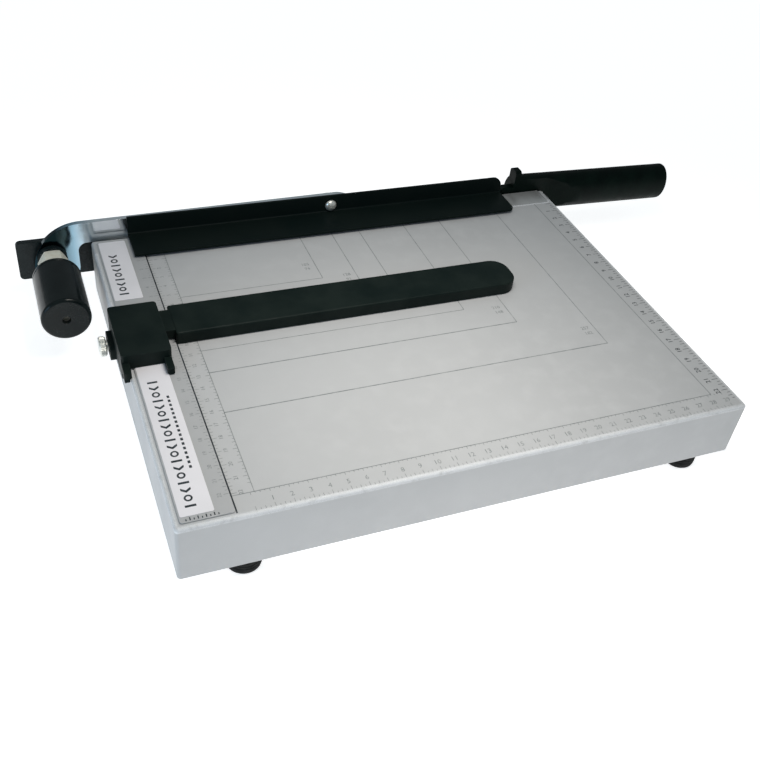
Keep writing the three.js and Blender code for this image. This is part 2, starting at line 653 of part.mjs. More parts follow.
place('gauge_arm', gaugeArm(), blackPlastic());
place('gauge_head', gaugeHead(), blackPlastic());
gaugeScrewX.forEach((x, i) => {
  const screw = turned([
    [0, 0], [3, 0], [1.6, 1.4], [1.6, 6.2], [0, 6.2],
  ]);
  place(`gauge_screw_${i + 1}`, screw, zinc(), x, gaugeScrewY, DECK + tongue.low + 0.1);
});
place('gauge_clamp_screw', clampScrew(), nickel(), 0, CLAMP.y, DECK + CLAMP.rise);

// ---------------------------------------------------------------- origin

const whole = new THREE.Group();
const box = new THREE.Box3().setFromObject(assembly);
assembly.position.set(-(box.min.x + box.max.x) / 2, -(box.min.y + box.max.y) / 2, -box.min.z);
whole.add(assembly);

export default whole;
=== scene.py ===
import json
import math

import bmesh
import bpy
from mathutils import Matrix, Vector


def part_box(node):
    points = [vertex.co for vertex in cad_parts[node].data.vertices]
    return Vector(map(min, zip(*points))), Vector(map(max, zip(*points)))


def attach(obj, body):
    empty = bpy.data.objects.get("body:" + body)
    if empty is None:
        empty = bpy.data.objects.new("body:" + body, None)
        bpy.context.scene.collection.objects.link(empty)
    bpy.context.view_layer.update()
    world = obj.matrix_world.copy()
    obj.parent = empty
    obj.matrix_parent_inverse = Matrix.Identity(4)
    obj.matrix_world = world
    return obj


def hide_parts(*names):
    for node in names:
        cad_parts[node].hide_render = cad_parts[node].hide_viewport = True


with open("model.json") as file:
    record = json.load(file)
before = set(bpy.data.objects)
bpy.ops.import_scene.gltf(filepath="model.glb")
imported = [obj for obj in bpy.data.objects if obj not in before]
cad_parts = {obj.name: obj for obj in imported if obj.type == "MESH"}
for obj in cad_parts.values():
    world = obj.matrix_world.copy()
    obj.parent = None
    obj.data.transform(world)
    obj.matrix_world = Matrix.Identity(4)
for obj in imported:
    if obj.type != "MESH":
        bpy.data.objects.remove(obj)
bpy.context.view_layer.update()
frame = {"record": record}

# The looks of a guillotine paper cutter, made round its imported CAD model. Shapes are drawn in
# millimetres in the bed's own frame: x from the bed's left side, y from its front wall, z up
# from the table. TO_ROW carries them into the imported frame, in metres.

MM = 0.001
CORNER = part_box("bed_shell")[0]
TO_ROW = Matrix.Translation((CORNER.x, CORNER.y, 0)) @ Matrix.Scale(MM, 4)
SLOT_OF = {row["node"]: row["material_slot"] for row in frame["record"]["subparts"]}
BODIES = frame["record"]["behaviour"]["bodies"]
BODY_OF = {node: body for body, nodes in BODIES.items() for node in nodes}

GAP = 0.3  # running clearance between neighbouring pieces
SHEET = 1.5  # thickness of the bed's steel
M3_HOLE = 1.9  # radii of the clearance holes for M3 and M4 screws
M4_HOLE = 2.3
M4 = 2.0  # radius of an M4 screw's shank


def span(node):
    """A CAD node's lowest and highest corner, in millimetres in the bed's frame."""
    low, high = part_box(node)
    back = TO_ROW.inverted()
    return back @ low, back @ high


def middle(node):
    low, high = span(node)
    return (low + high) / 2


def depth_of(node):
    """A CAD node's size from front to back."""
    low, high = span(node)
    return high.y - low.y


BED_LOW, BED_HIGH = span("bed_shell")
DECK = BED_HIGH.z  # height of the cutting surface above the table


# ---------------------------------------------------------------- outlines


def rounded(corners, steps=6):
    """The outline through (u, v, radius) corners, each turned by an arc of its radius."""
    line = []
    count = len(corners)
    for i, (u, v, radius) in enumerate(corners):
        here = Vector((u, v))
        if radius <= 0:
            line.append(here)
            continue
        before = Vector(corners[i - 1][:2]) - here
        after = Vector(corners[(i + 1) % count][:2]) - here
        half = before.angle(after) / 2
        reach = min(radius / math.tan(half), before.length * 0.499, after.length * 0.499)
        inner = (before.normalized() + after.normalized()).normalized()
        centre = here + inner * (reach / math.cos(half))
        arm = here + before.normalized() * reach - centre
        end = here + after.normalized() * reach - centre
        sweep = math.atan2(arm.x * end.y - arm.y * end.x, arm.dot(end))
        for k in range(steps + 1):
            turn = sweep * k / steps
            line.append(centre + Vector((
                arm.x * math.cos(turn) - arm.y * math.sin(turn),
                arm.x * math.sin(turn) + arm.y * math.cos(turn),
            )))
    return line


def arc(u, v, radius, start, end, steps=24):
    """Points on an arc from start to end, in degrees."""
    turns = (math.radians(start + (end - start) * k / steps) for k in range(steps + 1))
    return [Vector((u + radius * math.cos(t), v + radius * math.sin(t))) for t in turns]


def rectangle(u0, v0, u1, v1, radius=0.0, steps=8):
    return rounded([(u0, v0, radius), (u1, v0, radius), (u1, v1, radius), (u0, v1, radius)], steps)


def hexagon(across):
    return arc(0, 0, across / math.sqrt(3), 0, 300, 5)


# ---------------------------------------------------------------- solids

AXES = {
    "x": lambda u, v, w: (w, u, v),
    "y": lambda u, v, w: (u, w, v),
    "z": lambda u, v, w: (u, v, w),
}


def prism(outline, low, high, axis="z"):
    """A solid with one outline, from low to high along an axis."""
    bm = bmesh.new()
    put = AXES[axis]
    near, far = ([bm.verts.new(put(u, v, w)) for u, v in outline] for w in (low, high))
    count = len(outline)
    for k in range(count):
        n = (k + 1) % count
        bm.faces.new((near[k], near[n], far[n], far[k]))
    bm.faces.new(near[::-1])
    bm.faces.new(far)
    bmesh.ops.recalc_face_normals(bm, faces=bm.faces)
    return bm


def block(x0, x1, y0, y1, z0, z1):
    """A box between two values on each axis."""
    return prism(rectangle(x0, y0, x1, y1), z0, z1)


def skin(rows, ring=False, caps=True):
    """A surface through rows of points that all have the same count; a row of one is a pole."""
    bm = bmesh.new()
    made = [[bm.verts.new(p) for p in row] for row in rows]
    pairs = list(zip(made, made[1:]))
    if ring:
        pairs.append((made[-1], made[0]))
    for low, high in pairs:
        count = max(len(low), len(high))
        for k in range(count):
            n = (k + 1) % count
            loop = [low[k % len(low)], low[n % len(low)], high[n % len(high)], high[k % len(high)]]
            loop = [v for i, v in enumerate(loop) if v not in loop[:i]]
            if len(loop) > 2:
                bm.faces.new(loop)
    if caps and not ring:
        for row in (made[0], made[-1]):
            if len(row) > 2:
                bm.faces.new(row)
    bmesh.ops.recalc_face_normals(bm, faces=bm.faces)
    return bm


def turned(profile, segments=48, ring=False):
    """A turned solid about z, from (radius, height) points."""
    rows = []
    for radius, height in profile:
        if radius < 1e-6:
            rows.append([(0, 0, height)])
        else:
            rows.append([(p.x, p.y, height) for p in arc(0, 0, radius, 0, 360, segments)[:-1]])
    return skin(rows, ring)


def rod(radius, low, high, segments=32):
    return turned([(0, low), (radius, low), (radius, high), (0, high)], segments)


def tube(path, radius, sides=12):
    """A round bar that follows a path."""
    rows = []
    side = Vector((0, 0, 1))
    for i, here in enumerate(path):
        ahead = (path[min(i + 1, len(path) - 1)] - path[max(i - 1, 0)]).normalized()
        side = (side - ahead * side.dot(ahead)).normalized()
        other = ahead.cross(side)
        turns = (2 * math.pi * k / sides for k in range(sides))
        rows.append([here + (side * math.cos(t) + other * math.sin(t)) * radius for t in turns])
    return skin(rows)


def moved(bm, *steps):
    """A copy of bm, taken through the given matrices in order."""
    copy = bm.copy()
    for matrix in steps:
        bmesh.ops.transform(copy, matrix=matrix, verts=copy.verts)
    return copy


def shift(x, y, z):
    return Matrix.Translation((x, y, z))


UP_TO_BACK = Matrix.Rotation(-math.pi / 2, 4, "X")  # turns +z to +y
UP_TO_FRONT = Matrix.Rotation(math.pi / 2, 4, "X")  # turns +z to -y
UP_TO_RIGHT = Matrix.Rotation(math.pi / 2, 4, "Y")  # turns +z to +x


def put_in_scene(name, data):
    """A new object that holds data."""
    thing = bpy.data.objects.new(name, data)
    bpy.context.scene.collection.objects.link(thing)
    return thing


def spare(bm):
    """A passing object with the shape of bm, for the boolean tool."""
    mesh = bpy.data.meshes.new("spare")
    bm.to_mesh(mesh)
    return put_in_scene("spare", mesh)


def combine(bm, tools, operation="DIFFERENCE"):
    """bm after each tool has been cut from it, joined to it or kept in common with it."""
    base = spare(bm)
    others = [spare(tool) for tool in tools]
    for other in others:
        step = base.modifiers.new("combine", "BOOLEAN")
        step.operation = operation
        step.solver = "EXACT"
        step.object = other
    bpy.context.view_layer.update()
    graph = bpy.context.evaluated_depsgraph_get()
    mesh = bpy.data.meshes.new_from_object(base.evaluated_get(graph))
    result = bmesh.new()
    result.from_mesh(mesh)
    for thing in [base, *others]:
        bpy.data.meshes.remove(thing.data)
    bpy.data.meshes.remove(mesh)
    return result


def hole(radius, x, y, z, length, axis="z", segments=32):
    """A round tool from its low end at x, y, z."""
    turn = {"x": UP_TO_RIGHT, "y": UP_TO_BACK, "z": Matrix()}[axis]
    return moved(rod(radius, 0, length, segments), turn, shift(x, y, z))


# ---------------------------------------------------------------- pieces


def drop_twins(bm):
    """Of faces on the same corners, keeps one if they face the same way, and none if not."""
    bm.normal_update()
    groups = {}
    for face in bm.faces:
        groups.setdefault(frozenset(face.verts), []).append(face)
    extra = []
    for first, *others in groups.values():
        opposed = any(first.normal.dot(other.normal) < 0 for other in others)
        extra += [first, *others] if opposed else others
    bmesh.ops.delete(bm, geom=extra, context="FACES")


def round_edges(thing, width, steps, sharp):
    """Rounds the edges that turn by more than sharp degrees."""
    bevel = thing.modifiers.new("edge", "BEVEL")
    bevel.width = width * MM
    bevel.segments = steps
    bevel.limit_method = "ANGLE"
    bevel.angle_limit = math.radians(sharp)
    bevel.use_clamp_overlap = True


def piece(name, bm, surface, node=None, edge=0.0, steps=3, sharp=35, body=None, slot=None):
    """Makes a shown piece from bm. It stands for node, if given, and rides on that node's body."""
    bmesh.ops.remove_doubles(bm, verts=bm.verts, dist=1e-4)
    drop_twins(bm)
    bmesh.ops.transform(bm, matrix=TO_ROW, verts=bm.verts)
    mesh = bpy.data.meshes.new(name)
    bm.to_mesh(mesh)
    bm.free()
    mesh.materials.append(surface)
    mesh.shade_smooth()
    thing = put_in_scene(name, mesh)
    if edge:
        round_edges(thing, edge, steps, sharp)
    else:
        mesh.set_sharp_from_angle(angle=math.radians(sharp))
    weighted = thing.modifiers.new("normals", "WEIGHTED_NORMAL")
    weighted.keep_sharp = not edge
    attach(thing, body or BODY_OF[node])
    if node:
        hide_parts(node)


def stand_in(node, bm, surface, **finish):
    """The fine piece that is shown in place of a CAD node."""
    piece(f"fine_{node}", bm, SURFACE[surface], node, **finish)


# ---------------------------------------------------------------- materials


MIX_FIRST, MIX_SECOND, MIX_RESULT = 6, 7, 2  # the Mix node's colour sockets

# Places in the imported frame, in metres, where a tone begins or ends.
RIM_LOW = 0.0452  # only edges above this height get the bed's painted rim highlight
SEAT_FRONT = 0.105  # and only those in front of this, which leaves the knife's seat without the painted highlight
REFLECTED_BLUE_START, REFLECTED_BLUE_END = -0.215, -0.200  # painted blue reflection on the arm, from here to here towards the pivot
REFLECTED_DARK_START, REFLECTED_DARK_END = -0.226, -0.215  # and a painted dark reflection over the pivot itself


def tint(red, green, blue):
    """A display colour, 0 to 255, as the linear colour that shaders take."""
    return tuple(
        c / 12.92 if c <= 0.04045 else ((c + 0.055) / 1.055) ** 2.4
        for c in (red / 255, green / 255, blue / 255)
    )


class Surface:
    """A procedural material: each method adds one kind of detail to its Principled shader."""

    def __init__(self, name, colour, rough=0.5, metal=0.0, specular=0.5):
        self.material = bpy.data.materials.new(name)
        self.material.use_nodes = True
        self.tree = self.material.node_tree
        self.shader = self.tree.nodes["Principled BSDF"]
        self.shader.inputs["Base Color"].default_value = (*colour, 1)
        self.shader.inputs["Roughness"].default_value = rough
        self.shader.inputs["Metallic"].default_value = metal
        self.shader.inputs["Specular IOR Level"].default_value = specular
        self.rough = rough
        self.place = self.node("ShaderNodeTexCoord").outputs["Object"]

    def node(self, kind, **settings):
        made = self.tree.nodes.new(kind)
        for key, value in settings.items():
            setattr(made, key, value)
        return made

    def link(self, source, target):
        self.tree.links.new(source, target)

    def noise(self, size, detail=3.0, stretch=(1, 1, 1)):
        """Noise whose features are about size metres; stretch lengthens them along an axis."""
        scaled = self.node("ShaderNodeMapping")
        scaled.inputs["Scale"].default_value = tuple(1 / s for s in stretch)
        self.link(self.place, scaled.inputs["Vector"])
        made = self.node("ShaderNodeTexNoise")
        made.inputs["Scale"].default_value = 1 / size
        made.inputs["Detail"].default_value = detail
        self.link(scaled.outputs["Vector"], made.inputs["Vector"])
        return made.outputs["Fac"]

    def ramp(self, source, low, high, low_value=0.0, high_value=1.0):
        """The source, carried from low..high to low_value..high_value and held there."""
        made = self.node("ShaderNodeMapRange")
        made.inputs["From Min"].default_value = low
        made.inputs["From Max"].default_value = high
        made.inputs["To Min"].default_value = low_value
        made.inputs["To Max"].default_value = high_value
        self.link(source, made.inputs["Value"])
        return made.outputs["Result"]

    def times(self, first, second):
        made = self.node("ShaderNodeMath", operation="MULTIPLY")
        self.link(first, made.inputs[0])
        self.link(second, made.inputs[1])
        return made.outputs["Value"]

    def along(self, axis):
        """Where a point lies on an axis, in metres."""
        split = self.node("ShaderNodeSeparateXYZ")
        self.link(self.place, split.inputs[0])
        return split.outputs[axis]

    def paint(self, factor, colour):
        """Mixes a colour over the base colour."""
        target = self.shader.inputs["Base Color"]
        made = self.node("ShaderNodeMix", data_type="RGBA")
        if target.links:
            self.link(target.links[0].from_socket, made.inputs[MIX_FIRST])
        else:
            made.inputs[MIX_FIRST].default_value = target.default_value
        made.inputs[MIX_SECOND].default_value = (*colour, 1)
        self.link(factor, made.inputs["Factor"])
        self.link(made.outputs[MIX_RESULT], target)
        return self

    def clouds(self, size, colour, low=0.35, high=0.65):
        """Broad patches of a second tone."""
        return self.paint(self.ramp(self.noise(size), low, high), colour)

    def gloss(self, size, amount, stretch=(1, 1, 1)):
        """Roughness that wanders by amount either way."""
        source = self.noise(size, 4.0, stretch)
        low, high = max(self.rough - amount, 0.02), min(self.rough + amount, 1.0)
        self.link(self.ramp(source, 0.3, 0.7, low, high), self.shader.inputs["Roughness"])
        return self

    def bump(self, size, height, stretch=(1, 1, 1)):
        """Fine relief, height in metres."""
        made = self.node("ShaderNodeBump")
        made.inputs["Distance"].default_value = height
        made.inputs["Strength"].default_value = 1.0
        self.link(self.noise(size, 2.0, stretch), made.inputs["Height"])
        self.link(made.outputs["Normal"], self.shader.inputs["Normal"])
        return self

    def edges(self, radius, colour, low=0.02, high=0.25, amount=0.8, cover=(0.42, 0.62),
              above=None, before=None):
        """Edges in another colour, broken up by noise: rubbed wear, and a painted highlight on the
        bed's top rim.

        If given, above keeps them over a height and before keeps them in front of a depth.
        """
        soft = self.node("ShaderNodeBevel", samples=4)
        soft.inputs["Radius"].default_value = radius
        flat = self.node("ShaderNodeNewGeometry")
        dot = self.node("ShaderNodeVectorMath", operation="DOT_PRODUCT")
        self.link(soft.outputs["Normal"], dot.inputs[0])
        self.link(flat.outputs["Normal"], dot.inputs[1])
        wear_and_highlight = self.ramp(dot.outputs["Value"], 1 - low, 1 - high, 0.0, amount)
        wear_and_highlight = self.times(wear_and_highlight, self.ramp(self.noise(0.004, 5.0), *cover))
        if above is not None:
            wear_and_highlight = self.times(wear_and_highlight, self.ramp(self.along("Z"), above - 0.001, above))
        if before is not None:
            wear_and_highlight = self.times(wear_and_highlight, self.ramp(self.along("Y"), before, before - 0.001))
        return self.paint(wear_and_highlight, colour)

    def fade(self, axis, start, end, colour):
        """A tone that is full up to start and gone by end, measured along an axis."""
        return self.paint(self.ramp(self.along(axis), start, end, 1.0, 0.0), colour)


def powder_coat(name, level=1.0):
    """The bed's grey paint, at some share of its full brightness; a share below one is a darker
    copy with shade painted in.
    """
    def grey(*colour):
        return tuple(c * level for c in colour)

    return (Surface(name, grey(0.47, 0.475, 0.48), 0.45, specular=0.35)
            .clouds(0.12, grey(0.445, 0.45, 0.455))
            .clouds(0.012, grey(0.48, 0.485, 0.49), 0.45, 0.75)
            .gloss(0.03, 0.06)
            .bump(0.0011, 0.000035))


def bed_surfaces():
    return {
        "grey_paint": powder_coat("powder_coat_grey")
            # painted highlight: near-white edges along the top rim stand in for the light caught by
            # the rolled edge
            .edges(0.003, (0.95, 0.97, 1.0), low=0.004, high=0.05, cover=(0.2, 0.45),
                   above=RIM_LOW, before=SEAT_FRONT),
        # the fence's copy of the bed's grey paint is darker, as painted shade on the fence
        "fence_paint": powder_coat("powder_coat_fence_shaded", 0.88)
            .edges(0.0005, (0.6, 0.62, 0.64), amount=0.3),
        "ink": Surface("printed_ink", tint(124, 129, 129), 0.55)
            .clouds(0.004, tint(150, 153, 153), 0.4, 0.7)
            .gloss(0.01, 0.08),
        "dark_ink_and_shadow": Surface("dark_ink_and_shadow", tint(44, 50, 54), 0.55, specular=0.2)
            .clouds(0.004, tint(70, 76, 80), 0.4, 0.7)
            .gloss(0.01, 0.08),
        "label_vinyl": Surface("label_vinyl", (0.80, 0.78, 0.81), 0.35)
            .clouds(0.02, (0.76, 0.745, 0.77))
            .gloss(0.01, 0.06)
            .bump(0.006, 0.00002),
        "bed_knife_steel": Surface("ground_steel", (0.72, 0.72, 0.71), 0.38, 0.7)
            .clouds(0.03, (0.64, 0.64, 0.63))
            .gloss(0.004, 0.1, (1, 30, 1))
            .bump(0.0004, 0.000012, (1, 40, 1)),
        "zinc_screw": Surface("bright_zinc", (0.66, 0.65, 0.62), 0.3, 0.9)
            .clouds(0.002, (0.54, 0.53, 0.49))
            .gloss(0.001, 0.1)
            .bump(0.0006, 0.00001),
        "foot_rubber": Surface("foot_rubber", (0.008, 0.009, 0.009), 0.75, specular=0.15)
            .clouds(0.004, (0.015, 0.016, 0.016))
            .gloss(0.003, 0.1)
            .bump(0.0006, 0.00003),
    }


def pivot_surfaces():
    return {
        "black_paint": Surface("black_enamel", (0.006, 0.011, 0.012), 0.28, specular=0.2)
            .clouds(0.006, (0.010, 0.016, 0.017))
            .gloss(0.004, 0.08)
            .bump(0.0016, 0.00004)
            .edges(0.0007, (0.06, 0.065, 0.065)),
        "zinc_plate": Surface("pale_zinc", (0.96, 0.93, 0.80), 0.4, 0.2)
            .clouds(0.003, (0.88, 0.83, 0.69))
            .gloss(0.002, 0.1)
            .bump(0.0008, 0.00001),
        "spring_steel": Surface("spring_wire", (0.30, 0.30, 0.31), 0.3, 1.0)
            .clouds(0.002, (0.22, 0.21, 0.2))
            .gloss(0.001, 0.08)
            .bump(0.0005, 0.00001),
        "cover_plastic": Surface("cover_plastic", (0.002, 0.005, 0.005), 0.2, specular=0.2)
            .clouds(0.008, (0.005, 0.009, 0.009))
            .gloss(0.005, 0.06)
            .bump(0.0012, 0.000015)
            .edges(0.0006, (0.04, 0.05, 0.05)),
    }


def arm_and_gauge_surfaces():
    return {
        "arm_chrome": Surface("polished_chrome", (0.88, 0.93, 0.94), 0.12, 1.0)
            .clouds(0.015, (0.80, 0.84, 0.88))
            .gloss(0.006, 0.04)
            .bump(0.004, 0.00002)
            # painted reflections: blue where the arm would mirror the bed's blue-grey wall, dark
            # over the pivot
            .fade("X", REFLECTED_BLUE_START, REFLECTED_BLUE_END, (0.30, 0.47, 0.57))
            .fade("X", REFLECTED_DARK_START, REFLECTED_DARK_END, (0.015, 0.035, 0.045)),
        "blade_steel": Surface("blade_steel", (0.55, 0.56, 0.57), 0.26, 1.0)
            .clouds(0.02, (0.47, 0.48, 0.49))
            .gloss(0.003, 0.06, (1, 1, 12))
            .bump(0.0004, 0.000003, (1, 1, 20)),
        "grip_plastic": Surface("grip_plastic", (0.001, 0.004, 0.003), 0.45, specular=0.06)
            .clouds(0.01, (0.002, 0.007, 0.005))
            .gloss(0.006, 0.08)
            .bump(0.0007, 0.00003)
            .edges(0.0008, (0.022, 0.030, 0.028)),
        "guard_paint": Surface("guard_enamel", (0.004, 0.008, 0.0075), 0.45, specular=0.05)
            .clouds(0.03, (0.006, 0.010, 0.009))
            .gloss(0.01, 0.08)
            .bump(0.0012, 0.00003)
            .edges(0.0008, (0.022, 0.030, 0.029), amount=0.5),
        "nickel": Surface("nickel_plate", (0.84, 0.84, 0.78), 0.32, 0.7)
            .clouds(0.002, (0.74, 0.74, 0.69))
            .gloss(0.001, 0.08)
            .bump(0.0006, 0.00001),
        "gauge_plastic": Surface("gauge_plastic", (0.003, 0.008, 0.007), 0.5, specular=0.1)
            .clouds(0.02, (0.008, 0.014, 0.012))
            .gloss(0.008, 0.08)
            .bump(0.0008, 0.00004)
            .edges(0.0009, (0.022, 0.032, 0.030)),
    }


SURFACES = {**bed_surfaces(), **pivot_surfaces(), **arm_and_gauge_surfaces()}
SURFACE = {name: surface.material for name, surface in SURFACES.items()}


# ---------------------------------------------------------------- fasteners


def threaded(radius, low, high, pitch):
    """The outline of a threaded length, from low to high."""
    points = []
    for k in range(int((high - low) / pitch)):
        z = low + k * pitch
        points += [(radius, z + pitch * 0.15), (radius - pitch * 0.45, z + pitch * 0.6)]
    return points


def cross_recess(size, depth):
    """Tools for a cross recess that opens at z = 0 and goes up into a head."""
    tools = []
    for turn in (0, math.pi / 2):
        rows = []
        for z, reach, wide in ((-1, 1.1, 0.3), (0, 1, 0.26), (depth, 0.35, 0.16)):
            reach, wide = reach * size, wide * size
            rows.append([(x, y, z) for x, y in rectangle(-reach, -wide, reach, wide)])
        tools.append(moved(skin(rows), Matrix.Rotation(turn, 4, "Z")))
    return tools


def pan_screw(head, height, shank, length, pitch=0.7):
    """Head below z = 0 and threaded shank above it, from radii and lengths."""
    dome = rounded([
        (0, -height, 0), (head * 0.72, -height * 0.98, height * 0.5),
        (head, -height * 0.3, height * 0.4), (head, 0, 0.15), (shank, 0, 0),
    ], 5)[1:-1]
    thread = threaded(shank, 0.6, length - 1, pitch)
    profile = [
        (0, -height), *dome, (shank, 0), (shank, 0.6), *thread, (shank * 0.7, length), (0, length),
    ]
    recess = [moved(tool, shift(0, 0, -height)) for tool in cross_recess(head * 0.5, height * 0.75)]
    return combine(turned(profile, 40), recess)


def flat_screw(head, shank, length):
    """A countersunk head whose face is z = 0, with its shank below."""
    thread = [(r, -z) for r, z in threaded(shank, head - shank + 0.3, length - 1, 0.6)]
    profile = [
        (0, 0), (head - 0.1, 0), (head, -0.12), (shank, shank - head), *thread,
        (shank * 0.6, -length), (0, -length),
    ]
    recess = [moved(tool, UP_TO_BACK, UP_TO_BACK) for tool in cross_recess(head * 0.5, shank * 0.9)]
    return combine(turned(profile, 40), recess)


def hex_solid(across, low, high, bore=0.0, faces=(True, True)):
    """A hexagon with its corners turned off at the ends, and a bore if it has one."""
    outer = across / math.sqrt(3)
    flat = across / 2 * 0.97
    fall = (outer - flat) * 0.5
    profile = [
        (0, low), (flat, low), (outer, low + fall), (outer, high - fall), (flat, high), (0, high),
    ]
    if not faces[0]:
        profile[1:3] = [(outer, low)]
    if not faces[1]:
        profile[-3:-1] = [(outer, high)]
    body = combine(prism(hexagon(across), low, high), [turned(profile, 72)], "INTERSECT")
    if bore:
        rim = 0.4
        bore_tool = turned([
            (0, low - 1), (bore + rim + 1, low - 1), (bore, low + rim), (bore, high - rim),
            (bore + rim + 1, high + 1), (0, high + 1),
        ], 48)
        body = combine(body, [bore_tool])
    return body


def washer(inner, outer, thickness):
    """A flat ring with rounded edges, from z = 0 up."""
    rim = min(0.25, thickness / 4)
    return turned(rounded([
        (inner, 0, rim), (outer, 0, rim), (outer, thickness, rim), (inner, thickness, rim),
    ], 3), 64, ring=True)


# ---------------------------------------------------------------- bed


def bed_skin():
    """The pressed bed as one closed skin: inturned lip, walls and rolled top edge."""
    width, depth = BED_HIGH.x, BED_HIGH.y
    low, corner, bend_radius, steps = BED_LOW.z, 2.2, 1.7, 6
    lip_x, lip_y, lip_corner = 14, 24, 8

    def loop(gap_x, gap_y, radius, z):
        outline = rectangle(gap_x, gap_y, width - gap_x, depth - gap_y, radius, 10)
        return [(p.x, p.y, z) for p in outline]

    def bend(gap, z, radius, start, end):
        """Loops round a bend whose centre line is at height z."""
        rows = []
        for k in range(steps + 1):
            t = math.radians(start + (end - start) * k / steps)
            inset = gap + radius * (1 - math.cos(t))
            turn = max(corner - inset * 0.9, 0.4)
            rows.append(loop(inset, inset, turn, z + radius * math.sin(t)))
        return rows

    rows = [loop(lip_x, lip_y, lip_corner, z) for z in (low + SHEET, low)]
    rows += bend(0, low + bend_radius, bend_radius, -90, 0)
    rows += bend(0, DECK - bend_radius, bend_radius, 0, 90)
    outer_top = len(rows) - 1
    rows += bend(SHEET, DECK - bend_radius, bend_radius - SHEET, 90, 0)
    rows += bend(SHEET, low + bend_radius, bend_radius - SHEET, 0, -90)
    return sheet_metal(rows, outer_top)


def sheet_metal(rows, outer_top):
    """Joins loops into a closed skin; the deck's two faces fill the outer top loop and the next."""
    bm = bmesh.new()
    made = [[bm.verts.new(p) for p in row] for row in rows]
    count = len(made[0])
    for i, low_row in enumerate(made):
        if i == outer_top:
            bm.faces.new(made[i])
            bm.faces.new(made[i + 1])
            continue
        high_row = made[(i + 1) % len(made)]
        for k in range(count):
            n = (k + 1) % count
            bm.faces.new((low_row[k], low_row[n], high_row[n], high_row[k]))
    bmesh.ops.recalc_face_normals(bm, faces=bm.faces)
    return bm


KNIFE_LOW, KNIFE_HIGH = span("bed_knife")
KNIFE_SCREWS = [middle(f"bed_knife_screw_{i}") for i in range(1, 5)]
BRACKET_SCREWS = [middle(f"bracket_screw_{i}") for i in (1, 2)]
LABELS = ("label_front", "label_back")
FEET = ("front_left", "front_right", "rear_left", "rear_right")
FOOT_RECESS = 5  # how far up into a foot its screw's head sits


def bed_shell():
    """The skin with the seat for the bed knife pressed into its back edge, and its screw holes."""
    back = BED_HIGH.y
    x0, x1, y0 = KNIFE_LOW.x - GAP, KNIFE_HIGH.x + GAP, KNIFE_LOW.y - GAP
    ledge = KNIFE_LOW.z
    seat = block(
        x0 - SHEET, x1 + SHEET, y0 - SHEET, back - 0.01, ledge - SHEET, DECK - SHEET / 2,
    )
    rebate = block(x0, x1, y0, back + 1, ledge, DECK + 1)
    holes = [hole(M3_HOLE, p.x, p.y, ledge - 3, 4) for p in KNIFE_SCREWS]
    for p in [middle(f"foot_{where}") for where in FEET]:
        holes.append(hole(M4_HOLE, p.x, p.y, BED_LOW.z - 1, 4))
    holes += [hole(M4_HOLE, p.x, back - 3, p.z, 4, "y") for p in BRACKET_SCREWS]
    return combine(combine(bed_skin(), [seat], "UNION"), [rebate, *holes])


def bed_knife():
    """The strip, with a countersink for each of its screws."""
    low, high = KNIFE_LOW, KNIFE_HIGH
    rim, bore = 3.8, 2
    seat = turned([
        (0, low.z - 1), (bore, low.z - 1), (bore, high.z - rim + bore), (rim, high.z),
        (rim, high.z + 1), (0, high.z + 1),
    ])
    seats = [moved(seat, shift(p.x, p.y, 0)) for p in KNIFE_SCREWS]
    return combine(block(low.x, high.x, low.y, high.y, low.z, high.z), seats)


def foot():
    """A moulded rubber foot with two shallow grooves round it, drawn from its sole up."""
    wide, tall, recess = 9.9, 9, 4.2
    side = [(wide, 3, 0.6)]
    for z in (4.4, 6.4):
        side += [(wide, z, 0.1), (wide - 0.4, z + 0.3, 0.1), (wide, z + 0.6, 0.1)]
    return turned(rounded([
        (recess, 0, 0.4), (wide - 1.3, 0, 0.4), (wide - 0.4, 1, 0.5), *side, (wide, tall, 0.3),
        (M4_HOLE, tall, 0), (M4_HOLE, FOOT_RECESS, 0), (recess, FOOT_RECESS, 0),
    ], 4), 64, ring=True)


def plate(node, corner):
    """A flat piece with rounded corners that fills its node's box."""
    low, high = span(node)
    return prism(rectangle(low.x, low.y, high.x, high.y, corner), low.z, high.z)


def spun(bm, turn, axis, *place):
    """A screw turned about its own axis, so that no two recesses line up, and put in place."""
    return moved(bm, Matrix.Rotation(turn, 4, axis), shift(*place))


def make_bed():
    stand_in("bed_shell", bed_shell(), "grey_paint")
    stand_in("side_fence", plate("side_fence", 1.5), "fence_paint", edge=0.35)
    for name in LABELS:
        stand_in(name, plate(name, 1.0), "label_vinyl", edge=0.08, steps=2)
    stand_in("bed_knife", bed_knife(), "bed_knife_steel", edge=0.15, steps=2)
    screw = flat_screw(3.3, 1.6, 7.8)
    for i, p in enumerate(KNIFE_SCREWS, 1):
        name = f"bed_knife_screw_{i}"
        stand_in(name, spun(screw, i * 0.9, "Z", p.x, p.y, span(name)[1].z), "zinc_screw")
    pan = pan_screw(3.7, 2.4, M4, 9)
    for i, where in enumerate(FEET):
        p = middle(f"foot_{where}")
        stand_in(f"foot_{where}", moved(foot(), shift(p.x, p.y, 0)), "foot_rubber")
        placed = spun(pan, i * 0.7, "Z", p.x, p.y, FOOT_RECESS - GAP)
        stand_in(f"foot_screw_{where}", placed, "zinc_screw")


# ---------------------------------------------------------------- printed scales and outlines, and a painted shadow line

INK = 0.04  # height of the print above what it is printed on
SUNK = 0.02  # how far the print reaches into it
CORNER_X = span("side_fence")[1].x  # the paper is squared against the fence and the cutting edge


TICK_STEP = 2.5  # between the ticks of a scale, so that every fourth is a whole centimetre
TICK_SIZES = (1.0, 0.45, 0.7, 0.45)  # of a centimetre's four ticks, as shares of the longest


